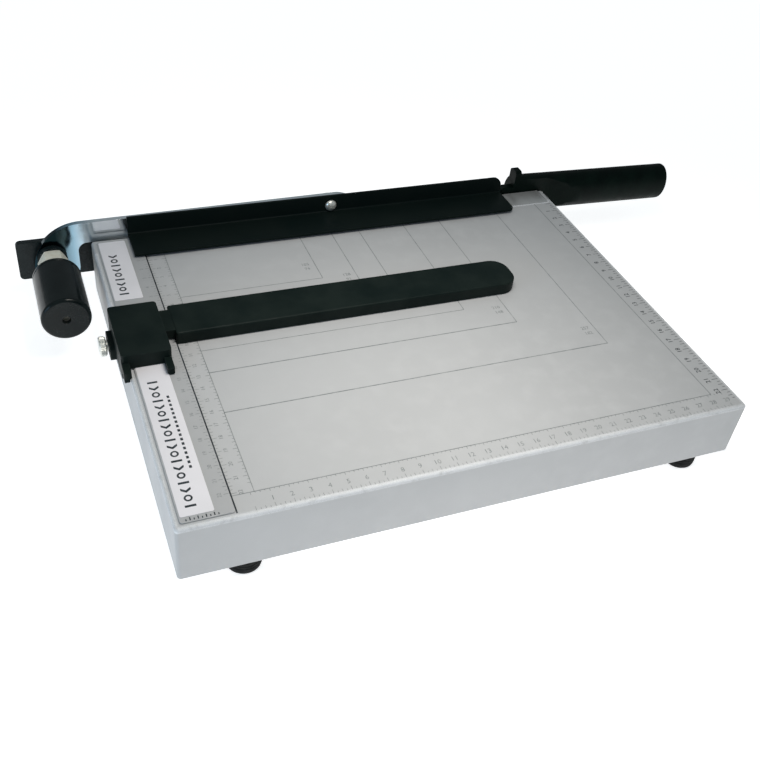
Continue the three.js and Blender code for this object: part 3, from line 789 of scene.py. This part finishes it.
class Print:
    """Collects thin strips and numbers at one height into one flat piece: print, and the painted
    shadow line by the fence.
    """

    def __init__(self, z):
        self.z = z
        self.bm = bmesh.new()

    def take(self, other):
        """Adds a shape, and uses it up."""
        mesh = bpy.data.meshes.new("spare")
        other.to_mesh(mesh)
        other.free()
        self.bm.from_mesh(mesh)
        bpy.data.meshes.remove(mesh)

    def strip(self, x0, y0, x1, y1):
        self.take(block(x0, x1, y0, y1, self.z - SUNK, self.z + INK))

    def line(self, x0, y0, x1, y1, width=0.35):
        """A line along x or along y."""
        if abs(x1 - x0) > abs(y1 - y0):
            self.strip(min(x0, x1), y0 - width / 2, max(x0, x1), y0 + width / 2)
        else:
            self.strip(x0 - width / 2, min(y0, y1), x0 + width / 2, max(y0, y1))

    def number(self, text, x, y, size, turn=0.0):
        """A number whose middle is at x, y."""
        curve = bpy.data.curves.new("spare", "FONT")
        curve.body = text
        curve.size = size
        curve.align_x = "CENTER"
        curve.align_y = "CENTER"
        curve.resolution_u = 2
        curve.extrude = (INK + SUNK) / 2
        thing = put_in_scene("spare", curve)
        bpy.context.view_layer.update()
        graph = bpy.context.evaluated_depsgraph_get()
        mesh = bpy.data.meshes.new_from_object(thing.evaluated_get(graph))
        turned_by = Matrix.Rotation(math.radians(turn), 4, "Z")
        mesh.transform(shift(x, y, self.z + INK / 2) @ turned_by)
        self.bm.from_mesh(mesh)
        bpy.data.meshes.remove(mesh)
        bpy.data.objects.remove(thing)
        bpy.data.curves.remove(curve)

    def scale(self, start, along, side, length, tick, numbers=0.0, turn=0.0):
        """A centimetre scale from start: ticks point to side, with numbers beyond them."""
        for k in range(int(length / TICK_STEP) + 1):
            here = start + along * (k * TICK_STEP)
            tip = here + side * tick * TICK_SIZES[k % 4]
            self.line(here.x, here.y, tip.x, tip.y, 0.3)
            if numbers and k % 4 == 0 and k > 0:
                spot = here + side * (tick + numbers * 0.7)
                self.number(str(k // 4), spot.x, spot.y, numbers, turn)


FORMATS = ((257, 182), (210, 148), (182, 128), (148, 105), (128, 91), (105, 74))
ALONG_X, ALONG_Y = Vector((1, 0)), Vector((0, 1))
SCALE_TOP = BED_HIGH.y - 20  # where the scales along the sides begin, clear of the guard


def deck_print():
    """Border lines, the fence-side and front scales and the outlines of standard sheets."""
    sheet = Print(DECK)
    back = KNIFE_LOW.y - 1.5
    left, right, front = CORNER_X, BED_HIGH.x - 16.5, 14.5
    border = left + 12.2
    sheet.line(border, front, border, back, 0.4)
    sheet.line(left + 1, front, right, front, 0.5)
    sheet.line(right, front, right, back, 0.5)
    sheet.scale(Vector((left + 1, SCALE_TOP)), -ALONG_Y, ALONG_X, 222, 2.6, 3.2, 90)
    sheet.scale(Vector((border, SCALE_TOP)), -ALONG_Y, -ALONG_X, 215, 2.6)
    sheet.scale(Vector((left + 10, 2.2)), ALONG_X, ALONG_Y, 290, 2.6, 4.4)
    sheet.scale(Vector((left + 10, front)), ALONG_X, -ALONG_Y, 290, 1.8)
    for long, short in FORMATS:
        x, y = left + long, BED_HIGH.y - short
        sheet.line(border, y, x, y, 0.7 if short > 140 else 0.45)
        sheet.line(x, y, x, back, 0.45)
        sheet.number(str(long), x - 6.5, y + 17, 3.8)
        sheet.number(str(short), x - 6.5, y + 12, 3.8)
    return sheet.bm


def fence_scale():
    """The fence's own scale, beside the dark line."""
    marks = Print(span("side_fence")[1].z)
    marks.scale(Vector((CORNER_X - 0.6, SCALE_TOP)), -ALONG_Y, -ALONG_X, 222, 2.4, 3.0, 90)
    return marks.bm


def dark_print():
    """A painted shadow line along the foot of the fence, and the right-hand scale."""
    marks = Print(DECK)
    # painted shadow: a dark strip along the fence's foot stands in for the thin shadow the low
    # fence casts on the deck
    marks.strip(CORNER_X + 0.1, 3, CORNER_X + 0.9, KNIFE_LOW.y - 1)
    right = BED_HIGH.x - 3
    marks.scale(Vector((right, SCALE_TOP)), -ALONG_Y, -ALONG_X, 228, 4.4, 4.6, 90)
    return marks.bm


def fence_print():
    """A short scale across the front of the fence."""
    marks = Print(span("side_fence")[1].z)
    for k in range(9):
        x = 6.5 + k * 2
        marks.line(x, 4.2, x, 6.2 if k % 2 else 5.4, 0.6)
    return marks.bm


def bar_sign(marks, x, y):
    marks.strip(x - 2.8, y - 0.7, x + 2.8, y + 0.7)


def ring_sign(marks, x, y):
    inner, outer, low, high = 1.2, 2.2, marks.z - SUNK, marks.z + INK
    ring = turned([(inner, low), (outer, low), (outer, high), (inner, high)], 24, ring=True)
    marks.take(moved(ring, shift(x, y, 0)))


def chevron_sign(marks, x, y):
    for side in (-2.6, 2.6):
        leg = [(x, y - 1.6), (x, y), (x + side, y + 1.8), (x + side, y + 0.2)]
        marks.take(prism(leg, marks.z - SUNK, marks.z + INK))


SIGNS = (bar_sign, ring_sign, chevron_sign)


def label_marks(node):
    """Plain signs in a row down a label, and a dashed line beside them on the front one."""
    low, high = span(node)
    marks = Print(high.z)
    row, dashes = low.x + 6.6, low.x + 12.4
    start, pitch, dash_pitch = low.y + 6, 5.2, 3.4
    count = int((high.y - low.y - 14) / pitch)
    for k in range(count):
        SIGNS[k % 3](marks, row, start + k * pitch)
    if node == "label_front":
        for k in range(int(count * 0.6 * pitch / dash_pitch)):
            y = start + count * 0.25 * pitch + k * dash_pitch
            marks.strip(dashes - 0.7, y, dashes + 0.7, y + 1.9)
    return marks.bm


def make_print():
    paint = SLOT_OF["bed_shell"]
    piece("deck_print", deck_print(), SURFACE["ink"], body="bed", slot=paint)
    piece("dark_print", dark_print(), SURFACE["dark_ink_and_shadow"], body="bed", slot=paint)
    piece("fence_print", fence_print(), SURFACE["dark_ink_and_shadow"], body="bed", slot=paint)
    piece("fence_scale", fence_scale(), SURFACE["ink"], body="bed", slot=paint)
    for name in LABELS:
        marks = label_marks(name)
        piece(f"{name}_marks", marks, SURFACE["dark_ink_and_shadow"], body="bed", slot=SLOT_OF[name])


# ---------------------------------------------------------------- pivot

PIVOT = middle("pivot_bolt")
BOLT = 4.0  # radius of the pivot bolt
BOLT_HOLE = BOLT + GAP


def from_front(node, bm, x, z):
    """A shape drawn up z, laid towards the back from its own node's front face."""
    return moved(bm, UP_TO_BACK, shift(x, span(node)[0].y, z))


def on_pivot(node, bm, surface):
    stand_in(node, from_front(node, bm, PIVOT.x, PIVOT.z), surface)


def pivot_bolt():
    """Threaded end in front, plain shank and hexagon head behind."""
    length = depth_of("pivot_bolt")
    head = length - 5.0
    thread = threaded(BOLT, 1.0, 16, 1.25)
    shank = turned([
        (0, 0), (BOLT - 1, 0), (BOLT - 0.5, 0.6), *thread, (BOLT, 17),
        (BOLT, head + 0.5), (0, head + 0.5),
    ], 48)
    return combine(shank, [hex_solid(13, head, length, faces=(False, True))], "UNION")


def spring():
    low, high = span("pivot_spring")
    wire, turns, steps = 1.15, 5, 28
    reach = (high.x - low.x) / 2 - wire
    climb = high.y - low.y - 2 * wire
    path = []
    for k in range(turns * steps + 1):
        angle = 2 * math.pi * k / steps
        height = wire + climb * k / (turns * steps)
        path.append(Vector((reach * math.cos(angle), reach * math.sin(angle), height)))
    return tube(path, wire, 12)


def spring_cover():
    """The black cap over the spring: rounded front rim, small hole, and a groove near its mouth."""
    length = depth_of("spring_cover")
    radius, wall, bore = 15.0, 1.8, 2.5
    groove = radius - 0.35
    return turned(rounded([
        (bore, 0, 0.4), (radius, 0, 2.4), (radius, length - 3, 0.1), (groove, length - 2.7, 0.1),
        (groove, length - 2.2, 0.1), (radius, length - 1.9, 0.1), (radius, length, 0.5),
        (radius - wall, length, 0.4), (radius - wall, wall + 1, 1.2), (bore, wall + 1, 0.2),
    ], 6), 96, ring=True)


def bracket():
    """The plate, with holes for its screws and the pivot bolt."""
    low, high = span("pivot_bracket")
    outline = rectangle(low.x, low.z, high.x, high.z, 3)
    tools = [hole(M4_HOLE, p.x, low.y - 1, p.z, 6, "y") for p in BRACKET_SCREWS]
    tools.append(hole(BOLT_HOLE, PIVOT.x, low.y - 1, PIVOT.z, 6, "y", 64))
    return combine(prism(outline, low.y, high.y, "y"), tools)


def bracket_spacer():
    low, high = span("bracket_spacer")
    holes = [hole(M4_HOLE, p.x, low.y - 1, p.z, 10, "y") for p in BRACKET_SCREWS]
    return combine(block(low.x, high.x, low.y, high.y, low.z, high.z), holes)


def make_bracket():
    stand_in("pivot_bracket", bracket(), "black_paint", edge=0.5)
    stand_in("bracket_spacer", bracket_spacer(), "zinc_plate", edge=0.3)
    head = 2.6
    screw = moved(pan_screw(3.7, head, M4, 19), UP_TO_FRONT)
    for i, p in enumerate(BRACKET_SCREWS, 1):
        name = f"bracket_screw_{i}"
        seat = span(name)[1].y - head
        stand_in(name, spun(screw, i * 0.6, "Y", p.x, seat, p.z), "zinc_screw")
        name = f"bracket_nut_{i}"
        nut = hex_solid(7, 0, depth_of(name), M4_HOLE)
        stand_in(name, from_front(name, nut, p.x, p.z), "zinc_screw")


def make_pivot():
    make_bracket()
    on_pivot("pivot_bolt", pivot_bolt(), "zinc_plate")
    on_pivot("thrust_washer", washer(BOLT_HOLE, 9, depth_of("thrust_washer")), "zinc_plate")
    on_pivot("collar_nut", hex_solid(17, 0, depth_of("collar_nut"), BOLT_HOLE), "zinc_plate")
    on_pivot("pivot_bush", washer(BOLT_HOLE, 9.5, depth_of("pivot_bush")), "black_paint")
    on_pivot("spring_seat", washer(BOLT_HOLE, 12.6, depth_of("spring_seat")), "zinc_plate")
    on_pivot("pivot_spring", spring(), "spring_steel")
    on_pivot("spring_washer", washer(BOLT_HOLE, 12.2, depth_of("spring_washer")), "zinc_plate")
    on_pivot("lock_nut", hex_solid(13, 0, depth_of("lock_nut"), BOLT_HOLE), "zinc_plate")
    on_pivot("spring_cover", spring_cover(), "cover_plastic")


# ---------------------------------------------------------------- swing arm

ARM_LOW, ARM_HIGH = span("blade_arm")
BLADE_LOW, BLADE_HIGH = span("cutting_blade")
GRIP_LOW, GRIP_HIGH = span("handle_grip")
GUARD_SCREW = middle("guard_screw")
RIVETS = [middle(f"blade_rivet_{i}") for i in range(1, 7)]
GRIP_SCREWS = [middle(f"handle_screw_{i}") for i in (1, 2)]
SLEEVE_START = GRIP_LOW.x
SLEEVE_HALF, SLEEVE_BACK = 6.8, 264  # half the sleeve's height, and its rear face
GRIP_START = 314.7
GRIP_FRONT = BED_HIGH.y + 0.8  # where it is cut away to pass the bed
GRIP_MIDDLE = 261.5  # the barrel's centre line, measured from the bed's front
GRIP_TILT = math.radians(1.8)
GRIP_ROUND = (11.0, 14.6)  # half depth and half height of the grip
TAPER_END = 368  # where the grip, cut away beside the bed, is back to its full depth
TANG = {"end": 400.0, "half": 5.0}
RIVET_HOLE = 1.8
GUARD_HOLE = 2.4


def grip_line(x):
    """Height of the grip's tilted centre line."""
    return DECK - 2.8 - (x - GRIP_START) * math.tan(GRIP_TILT)


def arm_outline():
    """Side view of the arm: lobe on the pivot, deep half, step, slim half and tang."""
    lobe, lobe_radius = Vector((-22.3, DECK - 19)), 14.3
    shoulder, shoulder_radius = Vector((-5, DECK - 19)), 31.6
    low, heel, throat = DECK - 2.2, DECK - 7.2, 6
    neck, tang, end, half = SLEEVE_START - 2.5, SLEEVE_START - 0.5, TANG["end"], TANG["half"]
    line = arc(lobe.x, lobe.y, lobe_radius, 180, 360, 40)
    line += arc(lobe.x + lobe_radius + throat, low - throat, throat, 180, 90, 12)
    line += rounded([
        (BLADE_LOW.x - 4, low, 0), (BLADE_LOW.x - 1, heel, 1.5), (neck, heel - 1, 1.5),
        (tang, grip_line(tang) - half, 0),
    ], 6)
    line += [Vector((end, grip_line(end) - half)), Vector((end, grip_line(end) + half))]
    line += [Vector((tang, grip_line(tang) + half)), Vector((neck, DECK + 3))]
    line += eased(Vector((190, DECK + 9)), Vector((171, DECK + 14)))
    line += arc(shoulder.x, shoulder.y, shoulder_radius, 90, 180, 40)
    return line


def eased(start, finish, steps=16):
    """Points on a smooth step from start to finish."""
    points = []
    for k in range(steps + 1):
        t = k / steps
        ease = t * t * (3 - 2 * t)
        points.append(Vector((
            start.x + (finish.x - start.x) * t, start.y + (finish.y - start.y) * ease,
        )))
    return points


def blade_arm():
    front = ARM_LOW.y - 1
    tools = [hole(BOLT_HOLE, PIVOT.x, front, PIVOT.z, 6, "y", 64)]
    tools.append(hole(GUARD_HOLE, GUARD_SCREW.x, front, GUARD_SCREW.z, 6, "y"))
    tools += [hole(RIVET_HOLE, p.x, front, p.z, 6, "y") for p in RIVETS]
    tools += [hole(M4_HOLE, p.x, front, grip_line(p.x), 6, "y") for p in GRIP_SCREWS]
    return combine(prism(arm_outline(), ARM_LOW.y, ARM_HIGH.y, "y"), tools)


def cutting_blade():
    """A flat-faced blade, ground away on its back to the edge, with its corners rounded."""
    low, high = BLADE_LOW, BLADE_HIGH
    section = [
        (low.y, low.z), (low.y + 0.3, low.z), (high.y, low.z + 5), (high.y, high.z),
        (low.y, high.z),
    ]
    outline = rectangle(low.x, low.z - 4, high.x, high.z, 3)
    side_view = prism(outline, low.y - 1, high.y + 1, "y")
    body = combine(prism(section, low.x, high.x, "x"), [side_view], "INTERSECT")
    seat = turned([(0, -1), (3.4, -1), (3.4, 0.1), (RIVET_HOLE, 1.6), (RIVET_HOLE, 4), (0, 4)])
    return combine(body, [moved(seat, UP_TO_BACK, shift(p.x, low.y, p.z)) for p in RIVETS])


def rivet():
    """A countersunk head in front, and a domed head behind."""
    shank, dome_start, end = 1.5, 6.1, 7.9
    dome = rounded([
        (shank, dome_start, 0), (2.9, dome_start, 0.15), (2.9, 7.0, 1.0), (1.4, end, 1.2),
        (0, end, 0),
    ], 6)[1:]
    return turned([(0, 0), (3, 0), (shank, 1.4), (shank, dome_start), *dome], 40)


def grip_row(x, shrink):
    """One ellipse of the grip, with a shallow seam above and below."""
    depth, height = GRIP_ROUND
    sides = 72
    points = []
    for k in range(sides):
        t = 2 * math.pi * k / sides
        seam = 0.18 if abs(math.cos(t)) < 0.03 else 0.0
        y = (depth - shrink - seam) * math.cos(t)
        z = (height - shrink - seam) * math.sin(t)
        points.append((x, y, z))
    return points


def grip_body():
    """The grip's barrel: an ellipse with rounded ends."""
    length = GRIP_HIGH.x - GRIP_START
    end = 2.2

    def rounding(a):
        return end * (1 - math.cos(math.radians(a))), end * (1 - math.sin(math.radians(a)))

    rows = [grip_row(0, end)]
    rows += [grip_row(x, shrink) for x, shrink in map(rounding, range(15, 91, 15))]
    rows += [grip_row(end + (length - 2 * end) * k / 12, 0.0) for k in range(1, 12)]
    rows += [grip_row(length - x, shrink) for x, shrink in map(rounding, range(90, 14, -15))]
    rows += [grip_row(length, end)]
    place = shift(GRIP_START, GRIP_MIDDLE, grip_line(GRIP_START))
    return moved(skin(rows), Matrix.Rotation(GRIP_TILT, 4, "Y"), place)


def grip_cuts():
    """What is taken out of the grip: the side by the bed, the tang's slot and the screw holes."""
    front = BED_HIGH.y - 30
    bed_side = prism([
        (GRIP_START - 5, front), (TAPER_END, front), (TAPER_END, GRIP_MIDDLE - GRIP_ROUND[0]),
        (BED_HIGH.x + 3, GRIP_FRONT), (GRIP_START - 5, GRIP_FRONT),
    ], 0, DECK + 40)
    room = TANG["half"] + GAP
    start, end = SLEEVE_START - 1, TANG["end"] + GAP
    slot = [
        (start, grip_line(start) - room), (end, grip_line(end) - room),
        (end, grip_line(end) + room), (start, grip_line(start) + room),
    ]
    tools = [bed_side, prism(slot, ARM_LOW.y - GAP, ARM_HIGH.y + GAP, "y")]
    head_seat = GRIP_MIDDLE + GRIP_ROUND[0] - 3.6
    for p in GRIP_SCREWS:
        tools.append(hole(M4_HOLE, p.x, ARM_LOW.y - 1, grip_line(p.x), 18, "y"))
        tools.append(hole(4.4, p.x, head_seat, grip_line(p.x), 12, "y"))
    return tools


def handle_grip():
    """Barrel, upright finger stop and the sleeve that runs on to the arm's neck."""
    stop_outline = rectangle(GRIP_FRONT, DECK - 14, 266, DECK + 17.2, 2.4)
    stop = prism(stop_outline, GRIP_START, GRIP_START + 5, "x")
    mid = grip_line(SLEEVE_START)
    outline = rectangle(GRIP_FRONT, mid - SLEEVE_HALF, SLEEVE_BACK, mid + SLEEVE_HALF, 1.5)
    sleeve = prism(outline, SLEEVE_START, GRIP_START + 1, "x")
    return combine(combine(grip_body(), [stop, sleeve], "UNION"), grip_cuts())


def make_arm():
    stand_in("blade_arm", blade_arm(), "arm_chrome", edge=0.45, sharp=28)
    stand_in("cutting_blade", cutting_blade(), "blade_steel", edge=0.08, steps=2, sharp=25)
    for i, p in enumerate(RIVETS, 1):
        name = f"blade_rivet_{i}"
        stand_in(name, from_front(name, rivet(), p.x, p.z), "zinc_screw")
    stand_in("handle_grip", handle_grip(), "grip_plastic", edge=0.5, sharp=40)
    head = 2.4
    screw = moved(pan_screw(4, head, M4, 11), UP_TO_FRONT)
    for i, p in enumerate(GRIP_SCREWS, 1):
        name = f"handle_screw_{i}"
        seat = span(name)[1].y - head
        stand_in(name, spun(screw, i * 0.5, "Y", p.x, seat, p.z), "zinc_screw")


# ---------------------------------------------------------------- guard bar

DOME = 2.6  # height of the guard screw's head


def guard_bar():
    """Bent angle: flange over the deck and upright against the blade."""
    low, high = span("guard_bar")
    sheet, bend, corner = 1.6, 2.6, 7.0
    front, back = low.y, high.y
    centre = (back - bend, low.z + bend)
    section = [
        Vector((front, low.z)), *arc(*centre, bend, -90, 0, 12), Vector((back, high.z)),
        Vector((back - sheet, high.z)), *arc(*centre, bend - sheet, 0, -90, 10),
        Vector((front, low.z + sheet)),
    ]
    upright = rounded([
        (low.x - 1, low.z - 1, 0), (high.x, low.z - 1, 0), (high.x, high.z, corner),
        (low.x - 1, high.z, 0),
    ], 16)
    plan = rounded([
        (low.x - 1, front, 0), (high.x, front, 4), (high.x, back + 1, 0), (low.x - 1, back + 1, 0),
    ], 10)
    corners = [prism(upright, front - 1, back + 1, "y"), prism(plan, low.z - 1, high.z + 1)]
    body = combine(prism(section, low.x, high.x, "x"), corners, "INTERSECT")
    return combine(body, [hole(GUARD_HOLE, GUARD_SCREW.x, back - 4, GUARD_SCREW.z, 6, "y")])


def dome_screw():
    """Domed head in front, plain shank behind, with a driver slot across the dome."""
    head, shank = 4.1, 2.1
    length = depth_of("guard_screw") - DOME
    turns = [math.radians(a) for a in range(0, 91, 10)]
    dome = [(head * math.sin(t), -DOME * math.cos(t)) for t in turns]
    thread = threaded(shank, length - 4, length - 0.8, 0.7)
    screw = turned([
        *dome, (shank, 0), (shank, length - 4), *thread, (shank * 0.7, length), (0, length),
    ], 48)
    slot = block(-5, 5, -0.45, 0.45, -DOME - 1, -DOME + 1.0)
    return combine(screw, [moved(slot, Matrix.Rotation(0.5, 4, "Z"))])


def make_guard():
    stand_in("guard_bar", guard_bar(), "guard_paint", edge=0.3)
    p = GUARD_SCREW
    screw = moved(dome_screw(), UP_TO_BACK, shift(p.x, span("guard_screw")[0].y + DOME, p.z))
    stand_in("guard_screw", screw, "nickel")
    bush = washer(2.5, 4, depth_of("guard_bush"))
    stand_in("guard_bush", from_front("guard_bush", bush, p.x, p.z), "zinc_plate")
    nut = hex_solid(7.5, 0, depth_of("guard_nut"), GUARD_HOLE)
    stand_in("guard_nut", from_front("guard_nut", nut, p.x, p.z), "zinc_plate")


# ---------------------------------------------------------------- back gauge

CLAMP = middle("gauge_clamp_screw")
GAUGE_SCREWS = [middle(f"gauge_screw_{i}") for i in (1, 2)]
TONGUE_FRONT, TONGUE_BACK = 141.0, 161.0  # the tongue goes from the bar into the head
TONGUE_LOW, TONGUE_HIGH = DECK + 2.2, DECK + 8.0


def inset_loop(plan, inset, z):
    """A closed plan moved inwards by inset, at height z."""
    points = []
    count = len(plan)
    for k, here in enumerate(plan):
        before, after = plan[k - 1], plan[(k + 1) % count]
        along = (after - before).normalized()
        points.append((here.x - along.y * inset, here.y + along.x * inset, z))
    return points


def gauge_arm():
    """The bar, with a rounded upper edge, and the tongue at its end."""
    low, high = span("gauge_arm")
    left, corner, edge = 31.0, 11.0, 1.2
    plan = rounded([
        (left, low.y, 1.2), (high.x, low.y, corner), (high.x, high.y, corner),
        (left, high.y, 1.2),
    ], 14)
    rows = [inset_loop(plan, 0.3, low.z), inset_loop(plan, 0, low.z + 0.3)]
    for a in range(0, 91, 15):
        inset = edge * (1 - math.cos(math.radians(a)))
        z = high.z - edge + edge * math.sin(math.radians(a))
        rows.append(inset_loop(plan, inset, z))
    tongue = block(low.x, left + 4, TONGUE_FRONT, TONGUE_BACK, TONGUE_LOW, TONGUE_HIGH)
    seat = turned([(0, -1), (3.4, -1), (3.4, 0.2), (M3_HOLE, 1.7), (M3_HOLE, 9), (0, 9)])
    seats = [moved(seat, shift(p.x, p.y, TONGUE_LOW)) for p in GAUGE_SCREWS]
    return combine(combine(skin(rows), [tongue], "UNION"), seats)


def gauge_head():
    """The forked block that rides on the fence, with a skirt, two prongs and a clamp boss."""
    low, high = span("gauge_head")
    wall, left, right = -GAP, -3.3, 25.0
    front, back = 121.0, 168.0
    bottom, prong_top = DECK + 1.4, DECK + 5.4
    pad = prism(rectangle(left, front, right, back, 2), bottom, high.z)
    parts = [block(left, wall, front + 1, back - 2.5, DECK - 6, high.z - 3)]
    for x0, x1, tip in ((left, wall + 1.2, 112.0), (right - 4.6, right - 0.5, 110.5)):
        plan = rounded([(x0, tip, 1.4), (x1, tip, 1.4), (x1, front + 2, 0), (x0, front + 2, 0)], 6)
        parts.append(prism(plan, bottom, prong_top))
    parts.append(block(left, wall, 112.6, front + 2, DECK - 1.4, prong_top - 0.5))
    boss = rectangle(CLAMP.y - 9, CLAMP.z - 6, CLAMP.y + 9, CLAMP.z + 6, 4, 10)
    parts.append(prism(boss, low.x, left + 0.5, "x"))
    pocket = block(
        6 - GAP, right + 1, TONGUE_FRONT - GAP, TONGUE_BACK + GAP, DECK, TONGUE_HIGH + GAP,
    )
    bore = hole(M4 + GAP, -20, CLAMP.y, CLAMP.z, 22, "x")
    screws = [hole(M3_HOLE, p.x, p.y, DECK + 5, 4.9) for p in GAUGE_SCREWS]
    return combine(combine(pad, parts, "UNION"), [pocket, bore, *screws])


def clamp_screw():
    """Knurled head, neck and threaded shank, pointing at the bed."""
    low, high = span("gauge_clamp_screw")
    neck = -6.2 - GAP
    back = neck - 0.9
    teeth, outer, root = 36, 6.0, 5.6
    rim = []
    for k in range(teeth * 2):
        t = math.pi * k / teeth
        r = outer if k % 2 else root
        rim.append((r * math.cos(t), r * math.sin(t)))
    bevel = turned([
        (0, low.x), (outer - 0.9, low.x), (outer + 0.1, low.x + 1), (outer + 0.1, neck - 1.8),
        (outer - 0.9, back), (0, back),
    ], 72)
    head = combine(prism(rim, low.x, back, "x"), [moved(bevel, UP_TO_RIGHT)], "INTERSECT")
    thread = threaded(M4, neck + 0.3, high.x - 0.7, 0.7)
    shank = turned([
        (0, neck - 1.6), (3.4, neck - 1.6), (3.4, neck), (M4, neck), *thread,
        (1.3, high.x), (0, high.x),
    ], 40)
    return combine(head, [moved(shank, UP_TO_RIGHT)], "UNION")


def gauge_screw(length):
    """A countersunk screw whose face is z = 0, with its shank above."""
    thread = threaded(1.6, 1.5, length - 0.3, 0.6)
    body = turned([(0, 0), (3, 0), (1.6, 1.4), *thread, (0, length)], 40)
    return combine(body, cross_recess(1.5, 1.2))


def make_gauge():
    stand_in("gauge_arm", gauge_arm(), "gauge_plastic")
    stand_in("gauge_head", gauge_head(), "gauge_plastic", edge=0.6)
    for i, p in enumerate(GAUGE_SCREWS, 1):
        name = f"gauge_screw_{i}"
        low, high = span(name)
        screw = moved(gauge_screw(high.z - low.z), shift(p.x, p.y, low.z))
        stand_in(name, screw, "zinc_screw")
    stand_in("gauge_clamp_screw", moved(clamp_screw(), shift(0, CLAMP.y, CLAMP.z)), "nickel")


# ---------------------------------------------------------------- camera, floor and light


def make_camera():
    """The photograph's view, from in front of and above the pivot end."""
    azimuth, elevation, roll = math.radians(26.28), math.radians(-40.47), math.radians(7.57)
    stand = Vector((-49.6, -296.3, DECK + 355.7))
    camera = bpy.data.cameras.new("camera")
    camera.sensor_width = 36
    camera.lens = 45.10
    camera.clip_start = 0.01
    thing = put_in_scene("camera", camera)
    level = math.cos(elevation)
    forward = Vector((
        math.sin(azimuth) * level, math.cos(azimuth) * level, math.sin(elevation),
    ))
    thing.rotation_mode = "QUATERNION"
    upright = forward.to_track_quat("-Z", "Y")
    thing.rotation_quaternion = Matrix.Rotation(-roll, 3, forward).to_quaternion() @ upright
    thing.location = TO_ROW @ stand
    bpy.context.scene.camera = thing


def make_floor():
    """A wide pale floor that glows enough to come out white."""
    size = 6.0
    corners = [(-size, -size, 0), (size, -size, 0), (size, size, 0), (-size, size, 0)]
    mesh = bpy.data.meshes.new("floor")
    mesh.from_pydata(corners, [], [(0, 1, 2, 3)])
    floor = put_in_scene("floor", mesh)
    surface = Surface("floor_white", (0.9, 0.9, 0.9), 0.9, specular=0.0)
    surface.clouds(1.5, (0.88, 0.88, 0.88))
    surface.shader.inputs["Emission Color"].default_value = (1, 1, 1, 1)
    surface.shader.inputs["Emission Strength"].default_value = 0.76
    mesh.materials.append(surface.material)


def area_light(name, place, aim, size, power, colour, spread):
    """A soft rectangular light; a spread below 180 degrees narrows its beam."""
    light = bpy.data.lights.new(name, "AREA")
    light.shape = "RECTANGLE"
    light.size, light.size_y = size
    light.energy = power
    light.color = colour
    light.spread = math.radians(spread)
    thing = put_in_scene(name, light)
    thing.location = place
    thing.rotation_mode = "QUATERNION"
    thing.rotation_quaternion = (Vector(aim) - Vector(place)).to_track_quat("-Z", "Y")


def make_world():
    """A soft blue-grey room, a little lighter overhead."""
    world = bpy.data.worlds.new("studio")
    bpy.context.scene.world = world
    world.use_nodes = True
    tree = world.node_tree
    background = tree.nodes["Background"]
    place = tree.nodes.new("ShaderNodeTexCoord")
    split = tree.nodes.new("ShaderNodeSeparateXYZ")
    ramp = tree.nodes.new("ShaderNodeValToRGB")
    stops = ((0.0, (0.52, 0.58, 0.62, 1)), (0.9, (0.68, 0.76, 0.80, 1)))
    for element, (position, colour) in zip(ramp.color_ramp.elements, stops):
        element.position = position
        element.color = colour
    tree.links.new(place.outputs["Generated"], split.inputs[0])
    tree.links.new(split.outputs["Z"], ramp.inputs["Fac"])
    tree.links.new(ramp.outputs["Color"], background.inputs["Color"])
    background.inputs["Strength"].default_value = 0.4


def make_light():
    make_world()
    area_light("key", (-0.05, -0.10, 0.42), (-0.05, -0.10, 0), (0.2, 0.2), 0.5,
               (1.0, 0.96, 0.90), 100)
    area_light("fill", (-1.0, -0.40, 0.25), (-0.2, 0, 0.03), (0.5, 0.3), 1.7,
               (0.42, 0.70, 1.0), 180)
    bpy.context.scene.view_settings.view_transform = "Standard"


make_camera()
make_floor()
make_light()
make_bed()
make_print()
make_pivot()
make_arm()
make_guard()
make_gauge()
